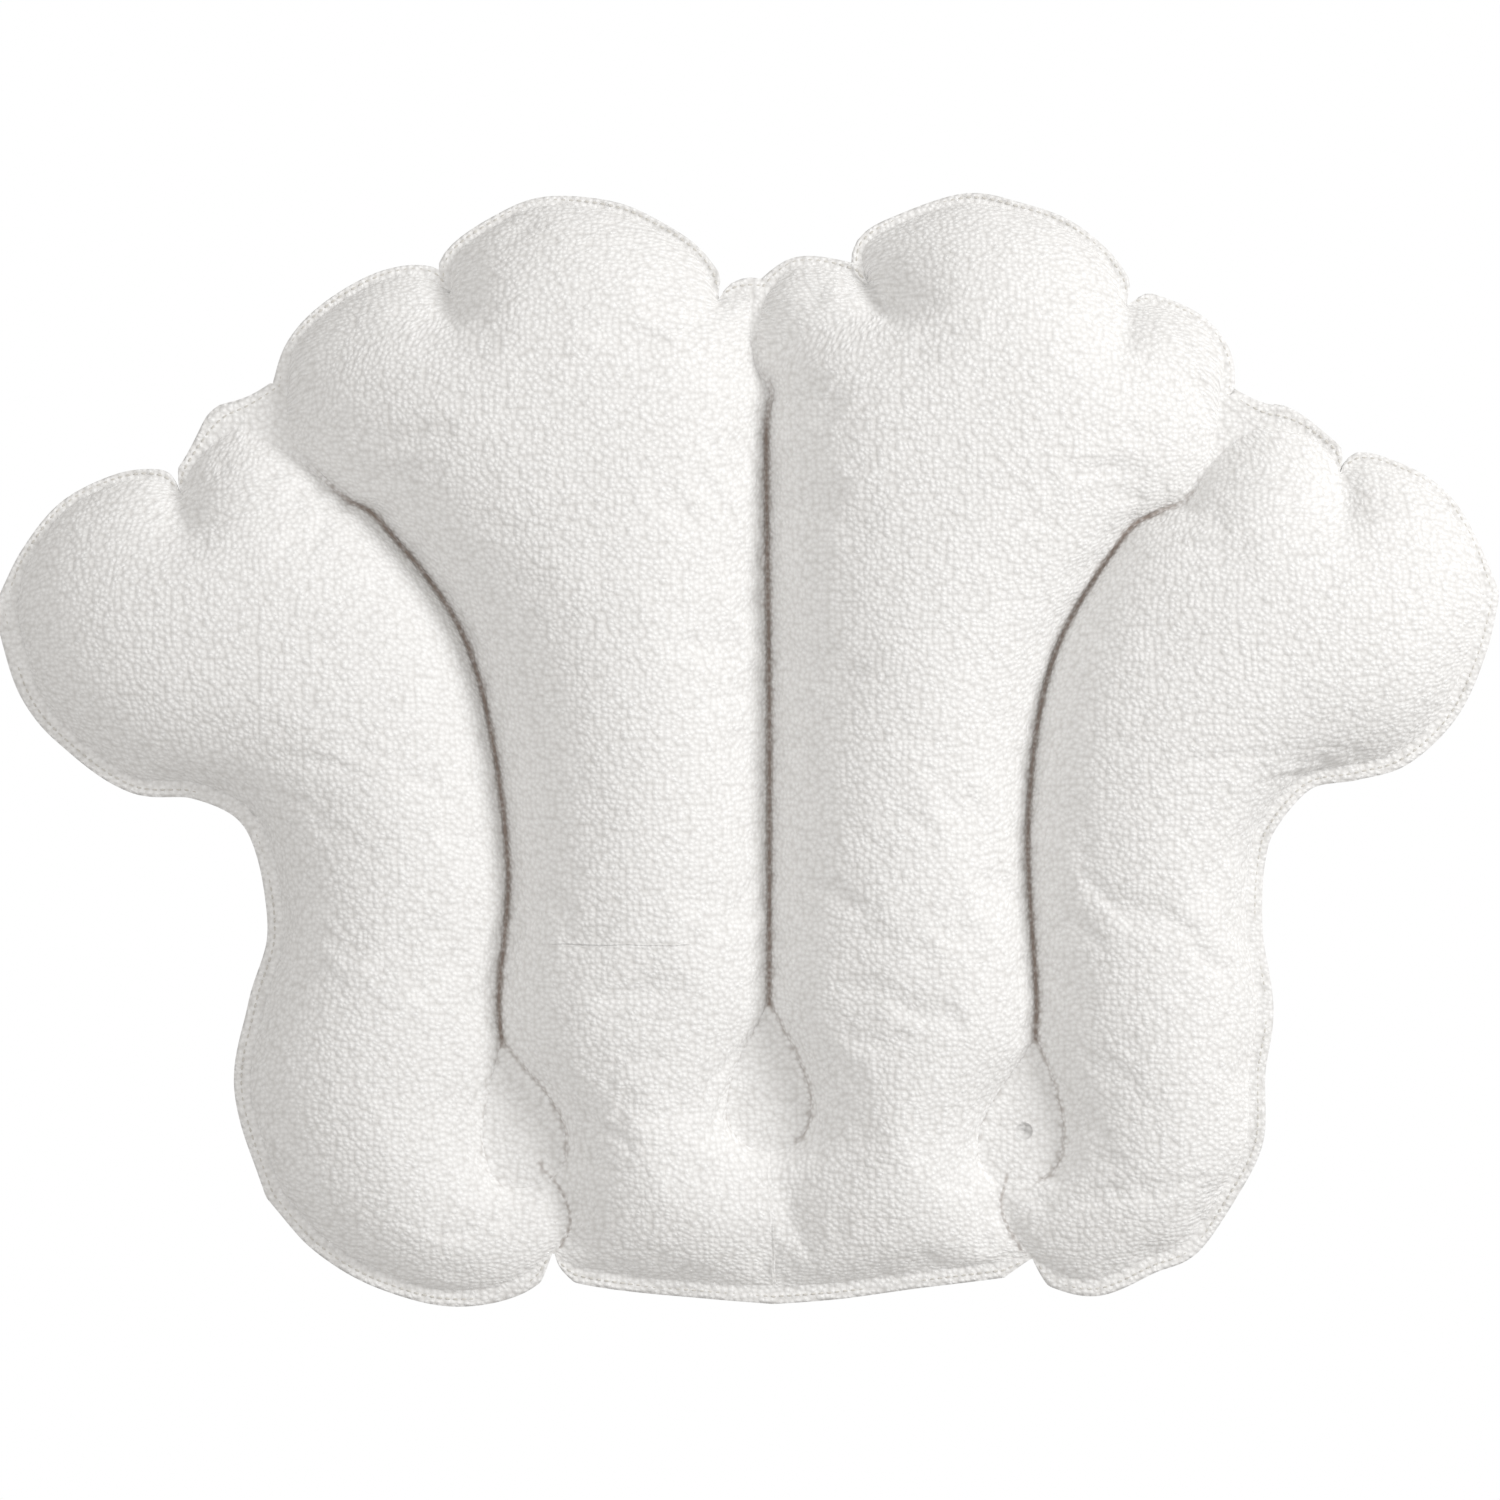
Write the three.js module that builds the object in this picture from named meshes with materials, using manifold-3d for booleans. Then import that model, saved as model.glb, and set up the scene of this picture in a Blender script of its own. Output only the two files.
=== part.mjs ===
// Inflatable bath pillow shaped like a scallop shell. A terry front and a vinyl back are welded
// together round the edge and along three seams, so the air stands in four lobes that share one band
// at the bottom. Six suction cups and an air valve sit on the back.
// Millimetres, +Z up. The pillow stands as it hangs on a bath wall, with the terry face towards -Y. The
// origin is the middle of the outline in the plane of the cup rims. The pieces are drawn with the wall
// as their floor, so heights count from the wall, and are stood up together at the end.
import * as THREE from "three";
import { mergeVertices } from "three/addons/utils/BufferGeometryUtils.js";
import Module from "manifold-3d";

// Pillow body
const PILLOW_WIDTH = 550;
const PILLOW_LENGTH = 408;
const FRONT_ARC_DEPTH = 21;
const FRONT_REACH = 50;
const BACK_DEPTH = 31;
const BACK_FLAT_REACH = 27;
const TERRY_THICKNESS = 3;
const FILM_THICKNESS = 0.5;
const FLANGE_WIDTH = 6;
const TOP_FLANGE_WIDTH = 3.4;
const SEAM_WIDTH = 1.5;
const TEARDROP_WIDTH = 31;
const TEARDROP_LENGTH = 56;
const TEARDROP_TAPER = 1.5;
const FLARE_LENGTH = 28;
const CLEARANCE = 0.3;

// Suction cups and the patches that hold them
const CUP_RADIUS = 22;
const CUP_LIP_WIDTH = 1.6;
const CUP_LIP_HEIGHT = 0.8;
const CUP_HEIGHT = 11;
const CUP_CROWN_WALL = 2;
const CUP_HUB_RADIUS = 7;
const CUP_NECK_RADIUS = 3.6;
const CUP_HEAD_RADIUS = 6.4;
const CUP_HEAD_HEIGHT = 3;
const PATCH_WALL = 1.2;
const PATCH_RIM_WIDTH = 6;

// Air valve
const VALVE_BORE_RADIUS = 3.8;
const VALVE_STEM_WALL = 1.4;
const VALVE_STEM_INNER_LENGTH = 6;
const VALVE_STEM_OUTER_LENGTH = 10;
const VALVE_LIP_WIDTH = 1;
const VALVE_LIP_HEIGHT = 1.6;
const VALVE_SKIRT_WALL = 0.8;
const VALVE_SKIRT_WIDTH = 2.6;
const VALVE_SKIRT_HEIGHT = 3;
const VALVE_FLANGE_WIDTH = 7;
const VALVE_FLANGE_HEIGHT = 1.2;
const FLAP_THICKNESS = 0.8;
const PLUG_HEAD_HEIGHT = 2;
const PLUG_NOSE_LENGTH = 5;
const PLUG_NOSE_TIP_RADIUS = 2.2;
const TETHER_WIDTH = 3.4;
const TETHER_THICKNESS = 1;
const TETHER_REACH = 2.2;

// Mesh steps
const ROUND_SEGMENTS = 18;
const BELL_STEPS = 4;
const BAND_ROWS = 3;
const BAND_ROW_EXPONENT = 2;
const TEARDROP_ROWS = 4;
const HEADING_SPAN = 0.3;
const TUBE_ROWS = 7;
const TUBE_ROW_EXPONENT = 2.4;
const COLUMN_EXPONENT = 2;
const TOP_HOLD_RATIO = 1.1;
const BOTTOM_HOLD_RATIO = 1.03;
const END_SPREAD_EXPONENT = 10;
const END_BLEND_EXPONENT = 4;
const REACH_EXPONENT = 6;
const RELAX_SWEEPS = 600;
const NOTCH_SPREAD_LIMIT = 0.6;

// Weld lines, drawn for a pillow of the width and length above and fitted to those two sizes.
// Seams run from the bottom edge to the top edge, through the teardrop flat that ends each one.
const SEAMS = [
  {
    line: [[-72, -184], [-66, -174], [-69, -162], [-80, -151], [-86, -128], [-92, -95], [-89, -37],
      [-103, 37], [-134, 82], [-148, 92], [-159, 102], [-169, 111], [-179, 125]],
    teardropAbove: 31,
    flare: 11,
  },
  {
    line: [[9, -197], [7, -147], [7, -97], [7, 18], [6, 112], [8, 131], [3, 140], [1.5, 152], [3, 167]],
    teardropAbove: 50,
    flare: 2.5,
  },
  {
    line: [[103, -186], [95, -176], [92, -165], [97, -152], [102, -128], [105, -94], [102, -26], [111, 33],
      [136, 77], [149, 87], [160, 92], [168, 105], [180, 124]],
    teardropAbove: 31,
    flare: 9,
  },
];
const LEFT_SIDE = [[-172, -161], [-183, -125], [-178, -94], [-171, -68], [-175, -38], [-184, -21],
  [-203, -12], [-225, -10], [-246, 4], [-261, 22], [-269, 52]];
const RIGHT_SIDE = [[172, -163], [182, -143], [183, -117], [186, -95], [182, -66], [183, -40], [188, -25],
  [203, -9], [222, -5], [238, 0], [254, 15], [264, 37], [269, 57]];

// Each lobe has its bottom edge between two seams and, along its top, scallops that end in notches.
const LOBES = [
  {
    bottom: [[-158, -177], [-142, -188], [-121, -196], [-103, -198], [-86, -194]],
    scallops: [[[-263, 71.5], [-250.5, 88], [-233, 97.5], [-218, 99], [-209, 94]], [[-203.5, 104.5]]],
    columns: [4, 2],
  },
  {
    bottom: [[-64, -189], [-40, -193], [-18, -195]],
    scallops: [[[-167.5, 147], [-155.5, 160], [-137, 171.5], [-121, 174], [-110, 168]],
      [[-108.5, 180.5], [-93.5, 192.5], [-75.5, 199.5], [-50.5, 197.5], [-33.5, 190.5], [-20, 181],
        [-12, 165]], []],
    columns: [3, 5, 1],
  },
  {
    bottom: [[35, -195], [64, -191], [88, -188]],
    scallops: [[[17.5, 177.5], [35.5, 175], [44, 169]],
      [[44, 184], [56, 193.5], [78.5, 200.6], [97.5, 197.5], [115, 191.5], [130, 180], [138, 163]],
      [[148.5, 163], [164.5, 156], [173.5, 144]]],
    columns: [2, 5, 2],
  },
  {
    bottom: [[114, -192], [128, -194], [146, -186], [160, -180]],
    scallops: [[[203, 115.5], [213, 108], [216, 101]], [[222, 104], [231, 104.5], [248.5, 96], [260, 82.5]]],
    columns: [2, 4],
  },
];
const CUP_PLACES = [[-214, 43], [-70, 115], [77, 115], [218, 48], [-137, -95], [147, -95]];
const VALVE_PLACE = [56, -95];

const WHITE_TERRY = { color: 0xf4f2ee, roughness: 0.95, metalness: 0 };
const WHITE_VINYL = { color: 0xeeeeec, roughness: 0.45, metalness: 0 };
const CLEAR_VINYL = { color: 0xdfe6e8, roughness: 0.2, metalness: 0 };

const wasm = await Module();
wasm.setup();

// Fit of the drawn weld lines to the pillow's width and length
const drawnPoints = [LEFT_SIDE, RIGHT_SIDE, LOBES.map((lobe) => [lobe.bottom, lobe.scallops])].flat(Infinity);
const drawnX = drawnPoints.filter((value, index) => index % 2 === 0);
const drawnY = drawnPoints.filter((value, index) => index % 2 === 1);
const fitX = (PILLOW_WIDTH - 2 * FLANGE_WIDTH) / (Math.max(...drawnX) - Math.min(...drawnX));
const fitY = (PILLOW_LENGTH - FLANGE_WIDTH - TOP_FLANGE_WIDTH) / (Math.max(...drawnY) - Math.min(...drawnY));

function fitted([x, y]) {
  return new THREE.Vector2(x * fitX, y * fitY);
}

// Half width of a teardrop flat at the angle that runs from its round end (PI) to its point (0)
function teardropHalfWidth(angle) {
  const widest = Math.atan(Math.sqrt(TEARDROP_TAPER + 1));
  const peak = 2 * Math.sin(widest) ** (TEARDROP_TAPER + 1) * Math.cos(widest);
  return (TEARDROP_WIDTH / 2 / peak) * Math.sin(angle) * Math.sin(angle / 2) ** TEARDROP_TAPER;
}

// Rows of a seam: distance up the seam and half width of its flat weld
function seamRows(seam, length) {
  const rows = [];
  const bandHeight = seam.teardropAbove * fitY;
  for (let k = 0; k < BAND_ROWS; k++) {
    rows.push({ along: bandHeight * (k / BAND_ROWS) ** BAND_ROW_EXPONENT, half: SEAM_WIDTH / 2 });
  }
  for (let k = 0; k < TEARDROP_ROWS; k++) {
    const angle = Math.PI * (1 - k / TEARDROP_ROWS);
    const along = bandHeight + (TEARDROP_LENGTH * (1 + Math.cos(angle))) / 2;
    rows.push({ along, half: Math.max(SEAM_WIDTH / 2, teardropHalfWidth(angle)) });
  }
  const tubeStart = bandHeight + TEARDROP_LENGTH;
  for (let k = 0; k <= TUBE_ROWS; k++) {
    const along = length - (length - tubeStart) * (1 - k / TUBE_ROWS) ** TUBE_ROW_EXPONENT;
    const intoFlare = Math.max(0, 1 - (length - along) / FLARE_LENGTH);
    rows.push({ along, half: SEAM_WIDTH / 2 + seam.flare * fitX * intoFlare ** 2 });
  }
  return rows;
}

function seamEdges(seam) {
  const curve = new THREE.SplineCurve(seam.line.map(fitted));
  const length = curve.getLength();
  const rows = seamRows(seam, length);
  const lookAhead = (TEARDROP_LENGTH * HEADING_SPAN) / length;
  const offset = (row, side) => {
    const share = Math.min(row.along / length, 1);
    const ahead = curve.getPointAt(Math.min(share + lookAhead, 1));
    const heading = ahead.sub(curve.getPointAt(Math.max(share - lookAhead, 0))).normalize();
    const sideways = new THREE.Vector2(-heading.y, heading.x);
    return curve.getPointAt(share).addScaledVector(sideways, side * row.half);
  };
  return {
    shares: rows.map((row) => row.along / length),
    left: rows.map((row) => offset(row, 1)),
    right: rows.map((row) => offset(row, -1)),
  };
}

function sampled(points, shares) {
  const curve = new THREE.SplineCurve(points);
  return shares.map((share) => curve.getPointAt(share));
}

// A lobe's top: every scallop is a smooth curve and every notch stays a sharp corner
function topLine(lobe, start, end) {
  const line = new THREE.CurvePath();
  let from = start;
  lobe.scallops.forEach((scallop, index) => {
    const through = [from, ...scallop.map(fitted)];
    if (index === lobe.scallops.length - 1) {
      through.push(end);
    }
    from = through.at(-1);
    line.add(new THREE.SplineCurve(through));
  });
  return line;
}

// Shares of the top line where the columns end, so that every notch has a column
function topShares(lobe, line) {
  const shares = [0];
  line.getCurveLengths().forEach((run, index) => {
    const from = shares.at(-1);
    for (let k = 1; k <= lobe.columns[index]; k++) {
      shares.push(THREE.MathUtils.lerp(from, run / line.getLength(), k / lobe.columns[index]));
    }
  });
  return shares;
}

// Columns crowd towards the welds, where the panels are steep, and spread out again near a lobe's ends
function crowded(share) {
  return share ** COLUMN_EXPONENT / (share ** COLUMN_EXPONENT + (1 - share) ** COLUMN_EXPONENT);
}

function nearEnd(share, hold) {
  return Math.min(1, (share * hold) ** END_SPREAD_EXPONENT);
}

// Plan of the panels: points with a mark for those that air can lift, and triangles between them
const plan = [];
const triangles = [];

function addPoint(point, lifted) {
  plan.push({ x: point.x, y: point.y, lifted });
  return plan.length - 1;
}

function planArea(a, b, c) {
  const [p, q, r] = [plan[a], plan[b], plan[c]];
  return ((q.x - p.x) * (r.y - p.y) - (r.x - p.x) * (q.y - p.y)) / 2;
}

// Corners in counter-clockwise order, cut along the diagonal that leaves the fuller triangles
function addQuad(a, b, c, d) {
  const cutAC = Math.min(planArea(a, b, c), planArea(a, c, d));
  const cutBD = Math.min(planArea(a, b, d), planArea(b, c, d));
  if (cutAC > cutBD) {
    triangles.push([a, b, c], [a, c, d]);
  } else {
    triangles.push([a, b, d], [b, c, d]);
  }
}

const seamEdgeRows = SEAMS.map(seamEdges);
const lastRow = BAND_ROWS + TEARDROP_ROWS + TUBE_ROWS;
const grids = LOBES.map((lobe, index) => {
  const leftSeam = seamEdgeRows[index - 1];
  const rightSeam = seamEdgeRows[index];
  const shares = (rightSeam ?? leftSeam).shares;
  const sideShares = shares.map((share, j) => (share + j / lastRow) / 2);
  const left = leftSeam ? leftSeam.right : sampled(LEFT_SIDE.map(fitted), sideShares);
  const right = rightSeam ? rightSeam.left : sampled(RIGHT_SIDE.map(fitted), sideShares);
  const bottom = new THREE.SplineCurve([left[0], ...lobe.bottom.map(fitted), right[0]]);
  const top = topLine(lobe, left[lastRow], right[lastRow]);
  const acrossTop = topShares(lobe, top);
  const columnCount = acrossTop.length - 1;
  return shares.map((u, j) => acrossTop.map((topShare, i) => {
    const evenShare = i / columnCount;
    const lower = THREE.MathUtils.lerp(crowded(evenShare), evenShare, nearEnd(1 - u, BOTTOM_HOLD_RATIO));
    const v = THREE.MathUtils.lerp(lower, topShare, nearEnd(u, TOP_HOLD_RATIO));
    const bottomBulge = bottom.getPointAt(v).sub(left[0].clone().lerp(right[0], v));
    const topBulge = top.getPoint(v).sub(left[lastRow].clone().lerp(right[lastRow], v));
    const point = left[j].clone().lerp(right[j], v)
      .addScaledVector(bottomBulge, (1 - u) ** END_BLEND_EXPONENT)
      .addScaledVector(topBulge, u ** END_BLEND_EXPONENT);
    const onEnd = j === 0 || j === lastRow;
    const onSide = i === 0 || i === columnCount;
    const onOuterSide = (i === 0 && !leftSeam) || (i === columnCount && !rightSeam);
    const welded = onEnd || onOuterSide || (onSide && j >= BAND_ROWS);
    return addPoint(point, !welded);
  }));
});
grids.forEach((grid, index) => {
  for (let j = 0; j < lastRow; j++) {
    for (let i = 0; i < grid[j].length - 1; i++) {
      addQuad(grid[j][i], grid[j][i + 1], grid[j + 1][i + 1], grid[j + 1][i]);
    }
    const next = grids[index + 1];
    if (next) {
      addQuad(grid[j].at(-1), next[j][0], next[j + 1][0], grid[j + 1].at(-1));
    }
  }
});

// Flange: the weld margin outside the lobes, narrower along the scallops of the top
const weldLoop = [
  ...grids.flatMap((grid) => grid[0]),
  ...grids.at(-1).slice(1).map((row) => row.at(-1)),
  ...grids.toReversed().flatMap((grid) => grid[lastRow].toReversed()).slice(1),
  ...grids[0].slice(1, -1).toReversed().map((row) => row[0]),
];

function outward(from, to) {
  const run = new THREE.Vector2(plan[to].x - plan[from].x, plan[to].y - plan[from].y).normalize();
  return new THREE.Vector2(run.y, -run.x);
}

const topEdge = new Set(grids.flatMap((grid) => grid[lastRow].slice(1, -1)));
const seamEnds = new Set(grids.slice(0, -1).flatMap((grid, index) => [0, lastRow].flatMap((row) => [
  grid[row].at(-1), grids[index + 1][row][0],
])));
const outlineLoop = weldLoop.map((vertex, index) => {
  const before = weldLoop.at(index - 1);
  const after = weldLoop[(index + 1) % weldLoop.length];
  const inNormal = outward(before, vertex);
  const outNormal = outward(vertex, after);
  let normal = inNormal.clone().add(outNormal).normalize();
  if (seamEnds.has(vertex)) {
    normal = seamEnds.has(before) ? inNormal : outNormal;
  }
  const width = topEdge.has(vertex) ? TOP_FLANGE_WIDTH : FLANGE_WIDTH;
  const reach = width / Math.max(normal.dot(inNormal), normal.dot(outNormal), NOTCH_SPREAD_LIMIT);
  return addPoint(normal.multiplyScalar(reach).add(plan[vertex]), false);
});
outlineLoop.forEach((vertex, index) => {
  const next = (index + 1) % outlineLoop.length;
  addQuad(vertex, outlineLoop[next], weldLoop[next], weldLoop[index]);
});
const outlineX = outlineLoop.map((vertex) => plan[vertex].x);
const outlineY = outlineLoop.map((vertex) => plan[vertex].y);
const middle = new THREE.Vector2(
  (Math.max(...outlineX) + Math.min(...outlineX)) / 2,
  (Math.max(...outlineY) + Math.min(...outlineY)) / 2,
);
for (const point of plan) {
  point.x -= middle.x;
  point.y -= middle.y;
}

// Air pressure lifts the panels like a soap film held at the welds. The lift of a long lobe of even
// width has a half-round section. The front is a flatter arc, whose centre lies below the welds, and
// eases off where a lobe is wider than its reach. The back stops sooner, on a flat.
const links = plan.map(() => new Map());
const shareOfArea = plan.map(() => 0);
for (const corners of triangles) {
  const area = planArea(...corners);
  corners.forEach((vertex, k) => {
    const next = corners[(k + 1) % 3];
    const opposite = plan[corners[(k + 2) % 3]];
    const dot = (plan[vertex].x - opposite.x) * (plan[next].x - opposite.x)
      + (plan[vertex].y - opposite.y) * (plan[next].y - opposite.y);
    const weight = dot / (4 * area);
    links[vertex].set(next, (links[vertex].get(next) ?? 0) + weight);
    links[next].set(vertex, (links[next].get(vertex) ?? 0) + weight);
    shareOfArea[vertex] += area / 3;
  });
}
const film = plan.map(() => 0);
for (let sweep = 0; sweep < RELAX_SWEEPS; sweep++) {
  plan.forEach((point, vertex) => {
    if (point.lifted) {
      let pull = shareOfArea[vertex];
      let stiffness = 0;
      for (const [other, weight] of links[vertex]) {
        pull += weight * film[other];
        stiffness += weight;
      }
      film[vertex] = pull / stiffness;
    }
  });
}
const lift = film.map((value) => Math.sqrt(2 * Math.max(value, 0)));
const frontLift = lift.map((rise) => {
  const eased = rise / (1 + (rise / FRONT_REACH) ** REACH_EXPONENT) ** (1 / REACH_EXPONENT);
  return Math.hypot(FRONT_ARC_DEPTH, eased) - FRONT_ARC_DEPTH;
});
const backLift = lift.map((rise) => {
  const share = Math.min(rise / BACK_FLAT_REACH, 1);
  return BACK_DEPTH * Math.sin((Math.PI / 2) * share);
});

// A panel follows the lift and has the same height of material everywhere
function panelGeometry(bottomLevel, thickness, rise) {
  const positions = [];
  const indices = [];
  for (const level of [bottomLevel, bottomLevel + thickness]) {
    plan.forEach((point, vertex) => positions.push(point.x, point.y, level + rise[vertex]));
  }
  for (const [a, b, c] of triangles) {
    indices.push(c, b, a, a + plan.length, b + plan.length, c + plan.length);
  }
  outlineLoop.forEach((vertex, index) => {
    const next = outlineLoop[(index + 1) % outlineLoop.length];
    indices.push(vertex, next, next + plan.length, vertex, next + plan.length, vertex + plan.length);
  });
  const geometry = new THREE.BufferGeometry();
  geometry.setAttribute("position", new THREE.Float32BufferAttribute(positions, 3));
  geometry.setIndex(indices);
  return geometry;
}

function toSolid(geometry) {
  const bare = geometry.clone();
  bare.deleteAttribute("normal");
  bare.deleteAttribute("uv");
  const merged = mergeVertices(bare);
  return new wasm.Manifold(new wasm.Mesh({
    numProp: 3,
    vertProperties: new Float32Array(merged.attributes.position.array),
    triVerts: new Uint32Array(merged.index.array),
  }));
}

function toGeometry(solid) {
  const mesh = solid.getMesh();
  const geometry = new THREE.BufferGeometry();
  geometry.setAttribute("position", new THREE.Float32BufferAttribute(mesh.vertProperties, 3));
  geometry.setIndex(Array.from(mesh.triVerts));
  return geometry;
}

// Round pieces turn about +Z. The profile lists radius and height.
function turned(profile) {
  const points = profile.map(([radius, height]) => new THREE.Vector2(radius, height));
  return new THREE.LatheGeometry(points, ROUND_SEGMENTS).rotateX(Math.PI / 2);
}

function turnedRing(profile) {
  return turned([...profile, profile[0]]);
}

function piece(name, geometry, finish) {
  const mesh = new THREE.Mesh(geometry, new THREE.MeshStandardMaterial(finish));
  mesh.name = name;
  return mesh;
}

// Levels, from the wall that the cup rims hold to out to the panels
const patchPlateauLevel = CUP_HEIGHT + CLEARANCE;
const headLevel = patchPlateauLevel + PATCH_WALL + CLEARANCE;
const backLevel = headLevel + CUP_HEAD_HEIGHT + CLEARANCE;
const backWeldLevel = backLevel + BACK_DEPTH;
const linerWeldLevel = backWeldLevel + FILM_THICKNESS + CLEARANCE;
const terryWeldLevel = linerWeldLevel + FILM_THICKNESS + CLEARANCE;

const stemRadius = VALVE_BORE_RADIUS + VALVE_STEM_WALL;
const skirtInnerRadius = stemRadius + CLEARANCE;
const skirtOuterRadius = skirtInnerRadius + VALVE_SKIRT_WIDTH;
const valveHoleRadius = skirtOuterRadius + CLEARANCE;

const pillow = new THREE.Group();
const valvePlace = fitted(VALVE_PLACE);

pillow.add(piece("front_panel", panelGeometry(terryWeldLevel, TERRY_THICKNESS, frontLift), WHITE_TERRY));
pillow.add(piece("front_liner", panelGeometry(linerWeldLevel, FILM_THICKNESS, frontLift), CLEAR_VINYL));

const sunk = backLift.map((depth) => -depth);
const valveHole = new THREE.CylinderGeometry(valveHoleRadius, valveHoleRadius, BACK_DEPTH, ROUND_SEGMENTS)
  .rotateX(Math.PI / 2)
  .translate(valvePlace.x, valvePlace.y, backLevel);
const backSolid = toSolid(panelGeometry(backWeldLevel, FILM_THICKNESS, sunk)).subtract(toSolid(valveHole));
pillow.add(piece("back_panel", toGeometry(backSolid), WHITE_VINYL));

// Suction cup: a bell with a flat rim, a neck and a mushroom head
const bellAngles = Array.from({ length: BELL_STEPS }, (_, k) => (Math.PI / 2) * (k / BELL_STEPS));
const cupProfile = [
  [0, CUP_HEIGHT - CUP_CROWN_WALL],
  ...bellAngles.toReversed().map((angle) => [
    (CUP_RADIUS - CUP_LIP_WIDTH) * Math.cos(angle),
    (CUP_HEIGHT - CUP_CROWN_WALL) * Math.sin(angle),
  ]),
  [CUP_RADIUS, 0],
  ...bellAngles.map((angle) => [
    CUP_HUB_RADIUS + (CUP_RADIUS - CUP_HUB_RADIUS) * Math.cos(angle),
    CUP_LIP_HEIGHT + (CUP_HEIGHT - CUP_LIP_HEIGHT) * Math.sin(angle),
  ]),
  [CUP_HUB_RADIUS, CUP_HEIGHT],
  [CUP_NECK_RADIUS, CUP_HEIGHT],
  [CUP_NECK_RADIUS, headLevel],
  [CUP_HEAD_RADIUS, headLevel],
  [CUP_HEAD_RADIUS, headLevel + CUP_HEAD_HEIGHT / 2],
  [CUP_HEAD_RADIUS - CUP_HEAD_HEIGHT / 2, headLevel + CUP_HEAD_HEIGHT],
  [0, headLevel + CUP_HEAD_HEIGHT],
];

// Patch: a shallow hat whose brim is welded to the back and whose crown holds the cup's neck
const patchHoleRadius = CUP_NECK_RADIUS + CLEARANCE;
const pocketRadius = CUP_HEAD_RADIUS + CLEARANCE;
const brimTop = backLevel - CLEARANCE;
const brimRadius = pocketRadius + PATCH_WALL + PATCH_RIM_WIDTH;
const patchProfile = [
  [patchHoleRadius, patchPlateauLevel],
  [pocketRadius + PATCH_WALL, patchPlateauLevel],
  [pocketRadius + PATCH_WALL, brimTop - PATCH_WALL],
  [brimRadius, brimTop - PATCH_WALL],
  [brimRadius, brimTop],
  [pocketRadius, brimTop],
  [pocketRadius, patchPlateauLevel + PATCH_WALL],
  [patchHoleRadius, patchPlateauLevel + PATCH_WALL],
];
CUP_PLACES.forEach((place, index) => {
  const { x, y } = fitted(place);
  const fastening = new THREE.Group();
  fastening.position.set(x, y, 0);
  fastening.add(piece(`cup_patch_${index + 1}`, turnedRing(patchProfile), WHITE_VINYL));
  fastening.add(piece(`suction_cup_${index + 1}`, turned(cupProfile), CLEAR_VINYL));
  pillow.add(fastening);
});

// Valve, with heights measured from the outer face of the back panel
const valve = new THREE.Group();
valve.position.set(valvePlace.x, valvePlace.y, backLevel);
pillow.add(valve);

const flangeTop = -CLEARANCE;
const flangeInnerRadius = valveHoleRadius;
valve.add(piece("valve_flange", turnedRing([
  [flangeInnerRadius, flangeTop - VALVE_FLANGE_HEIGHT],
  [flangeInnerRadius + VALVE_FLANGE_WIDTH, flangeTop - VALVE_FLANGE_HEIGHT],
  [flangeInnerRadius + VALVE_FLANGE_WIDTH, flangeTop],
  [flangeInnerRadius, flangeTop],
]), WHITE_VINYL));

const skirtTop = flangeTop;
const skirtBottom = skirtTop - VALVE_SKIRT_HEIGHT;
valve.add(piece("valve_skirt", turnedRing([
  [skirtInnerRadius, skirtBottom - VALVE_SKIRT_WALL],
  [skirtOuterRadius, skirtTop - VALVE_SKIRT_WALL],
  [skirtOuterRadius, skirtTop],
  [skirtInnerRadius, skirtBottom],
]), WHITE_VINYL));

const stemTip = -VALVE_STEM_OUTER_LENGTH;
const lipRadius = stemRadius + VALVE_LIP_WIDTH;
valve.add(piece("valve_stem", turnedRing([
  [VALVE_BORE_RADIUS, stemTip],
  [lipRadius, stemTip],
  [lipRadius, stemTip + VALVE_LIP_HEIGHT],
  [stemRadius, stemTip + VALVE_LIP_HEIGHT],
  [stemRadius, VALVE_STEM_INNER_LENGTH],
  [VALVE_BORE_RADIUS, VALVE_STEM_INNER_LENGTH],
]), WHITE_VINYL));

const flapSeat = VALVE_STEM_INNER_LENGTH + CLEARANCE;
valve.add(piece("valve_flap", turned([
  [0, flapSeat],
  [stemRadius, flapSeat],
  [stemRadius, flapSeat + FLAP_THICKNESS],
  [0, flapSeat + FLAP_THICKNESS],
]), CLEAR_VINYL));

const plugSeat = stemTip - CLEARANCE;
const noseRadius = VALVE_BORE_RADIUS - CLEARANCE;
valve.add(piece("valve_plug", turned([
  [0, plugSeat - PLUG_HEAD_HEIGHT],
  [lipRadius, plugSeat - PLUG_HEAD_HEIGHT],
  [lipRadius, plugSeat],
  [noseRadius, plugSeat],
  [PLUG_NOSE_TIP_RADIUS, plugSeat + PLUG_NOSE_LENGTH],
  [0, plugSeat + PLUG_NOSE_LENGTH],
]), WHITE_VINYL));

// Tether: a strap above the plug's head that reaches to the stem's lip, so the plug hangs shut
const tetherInner = lipRadius + CLEARANCE;
const tetherOuter = tetherInner + TETHER_REACH;
const tetherBottom = plugSeat - PLUG_HEAD_HEIGHT;
const tetherTop = stemTip + VALVE_LIP_HEIGHT;
const tetherShape = new THREE.Shape([
  new THREE.Vector2(tetherInner, tetherBottom),
  new THREE.Vector2(tetherOuter, tetherBottom),
  new THREE.Vector2(tetherOuter, tetherTop),
  new THREE.Vector2(tetherInner, tetherTop),
  new THREE.Vector2(tetherInner, tetherTop - TETHER_THICKNESS),
  new THREE.Vector2(tetherOuter - TETHER_THICKNESS, tetherTop - TETHER_THICKNESS),
  new THREE.Vector2(tetherOuter - TETHER_THICKNESS, tetherBottom + TETHER_THICKNESS),
  new THREE.Vector2(tetherInner, tetherBottom + TETHER_THICKNESS),
]);
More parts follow.
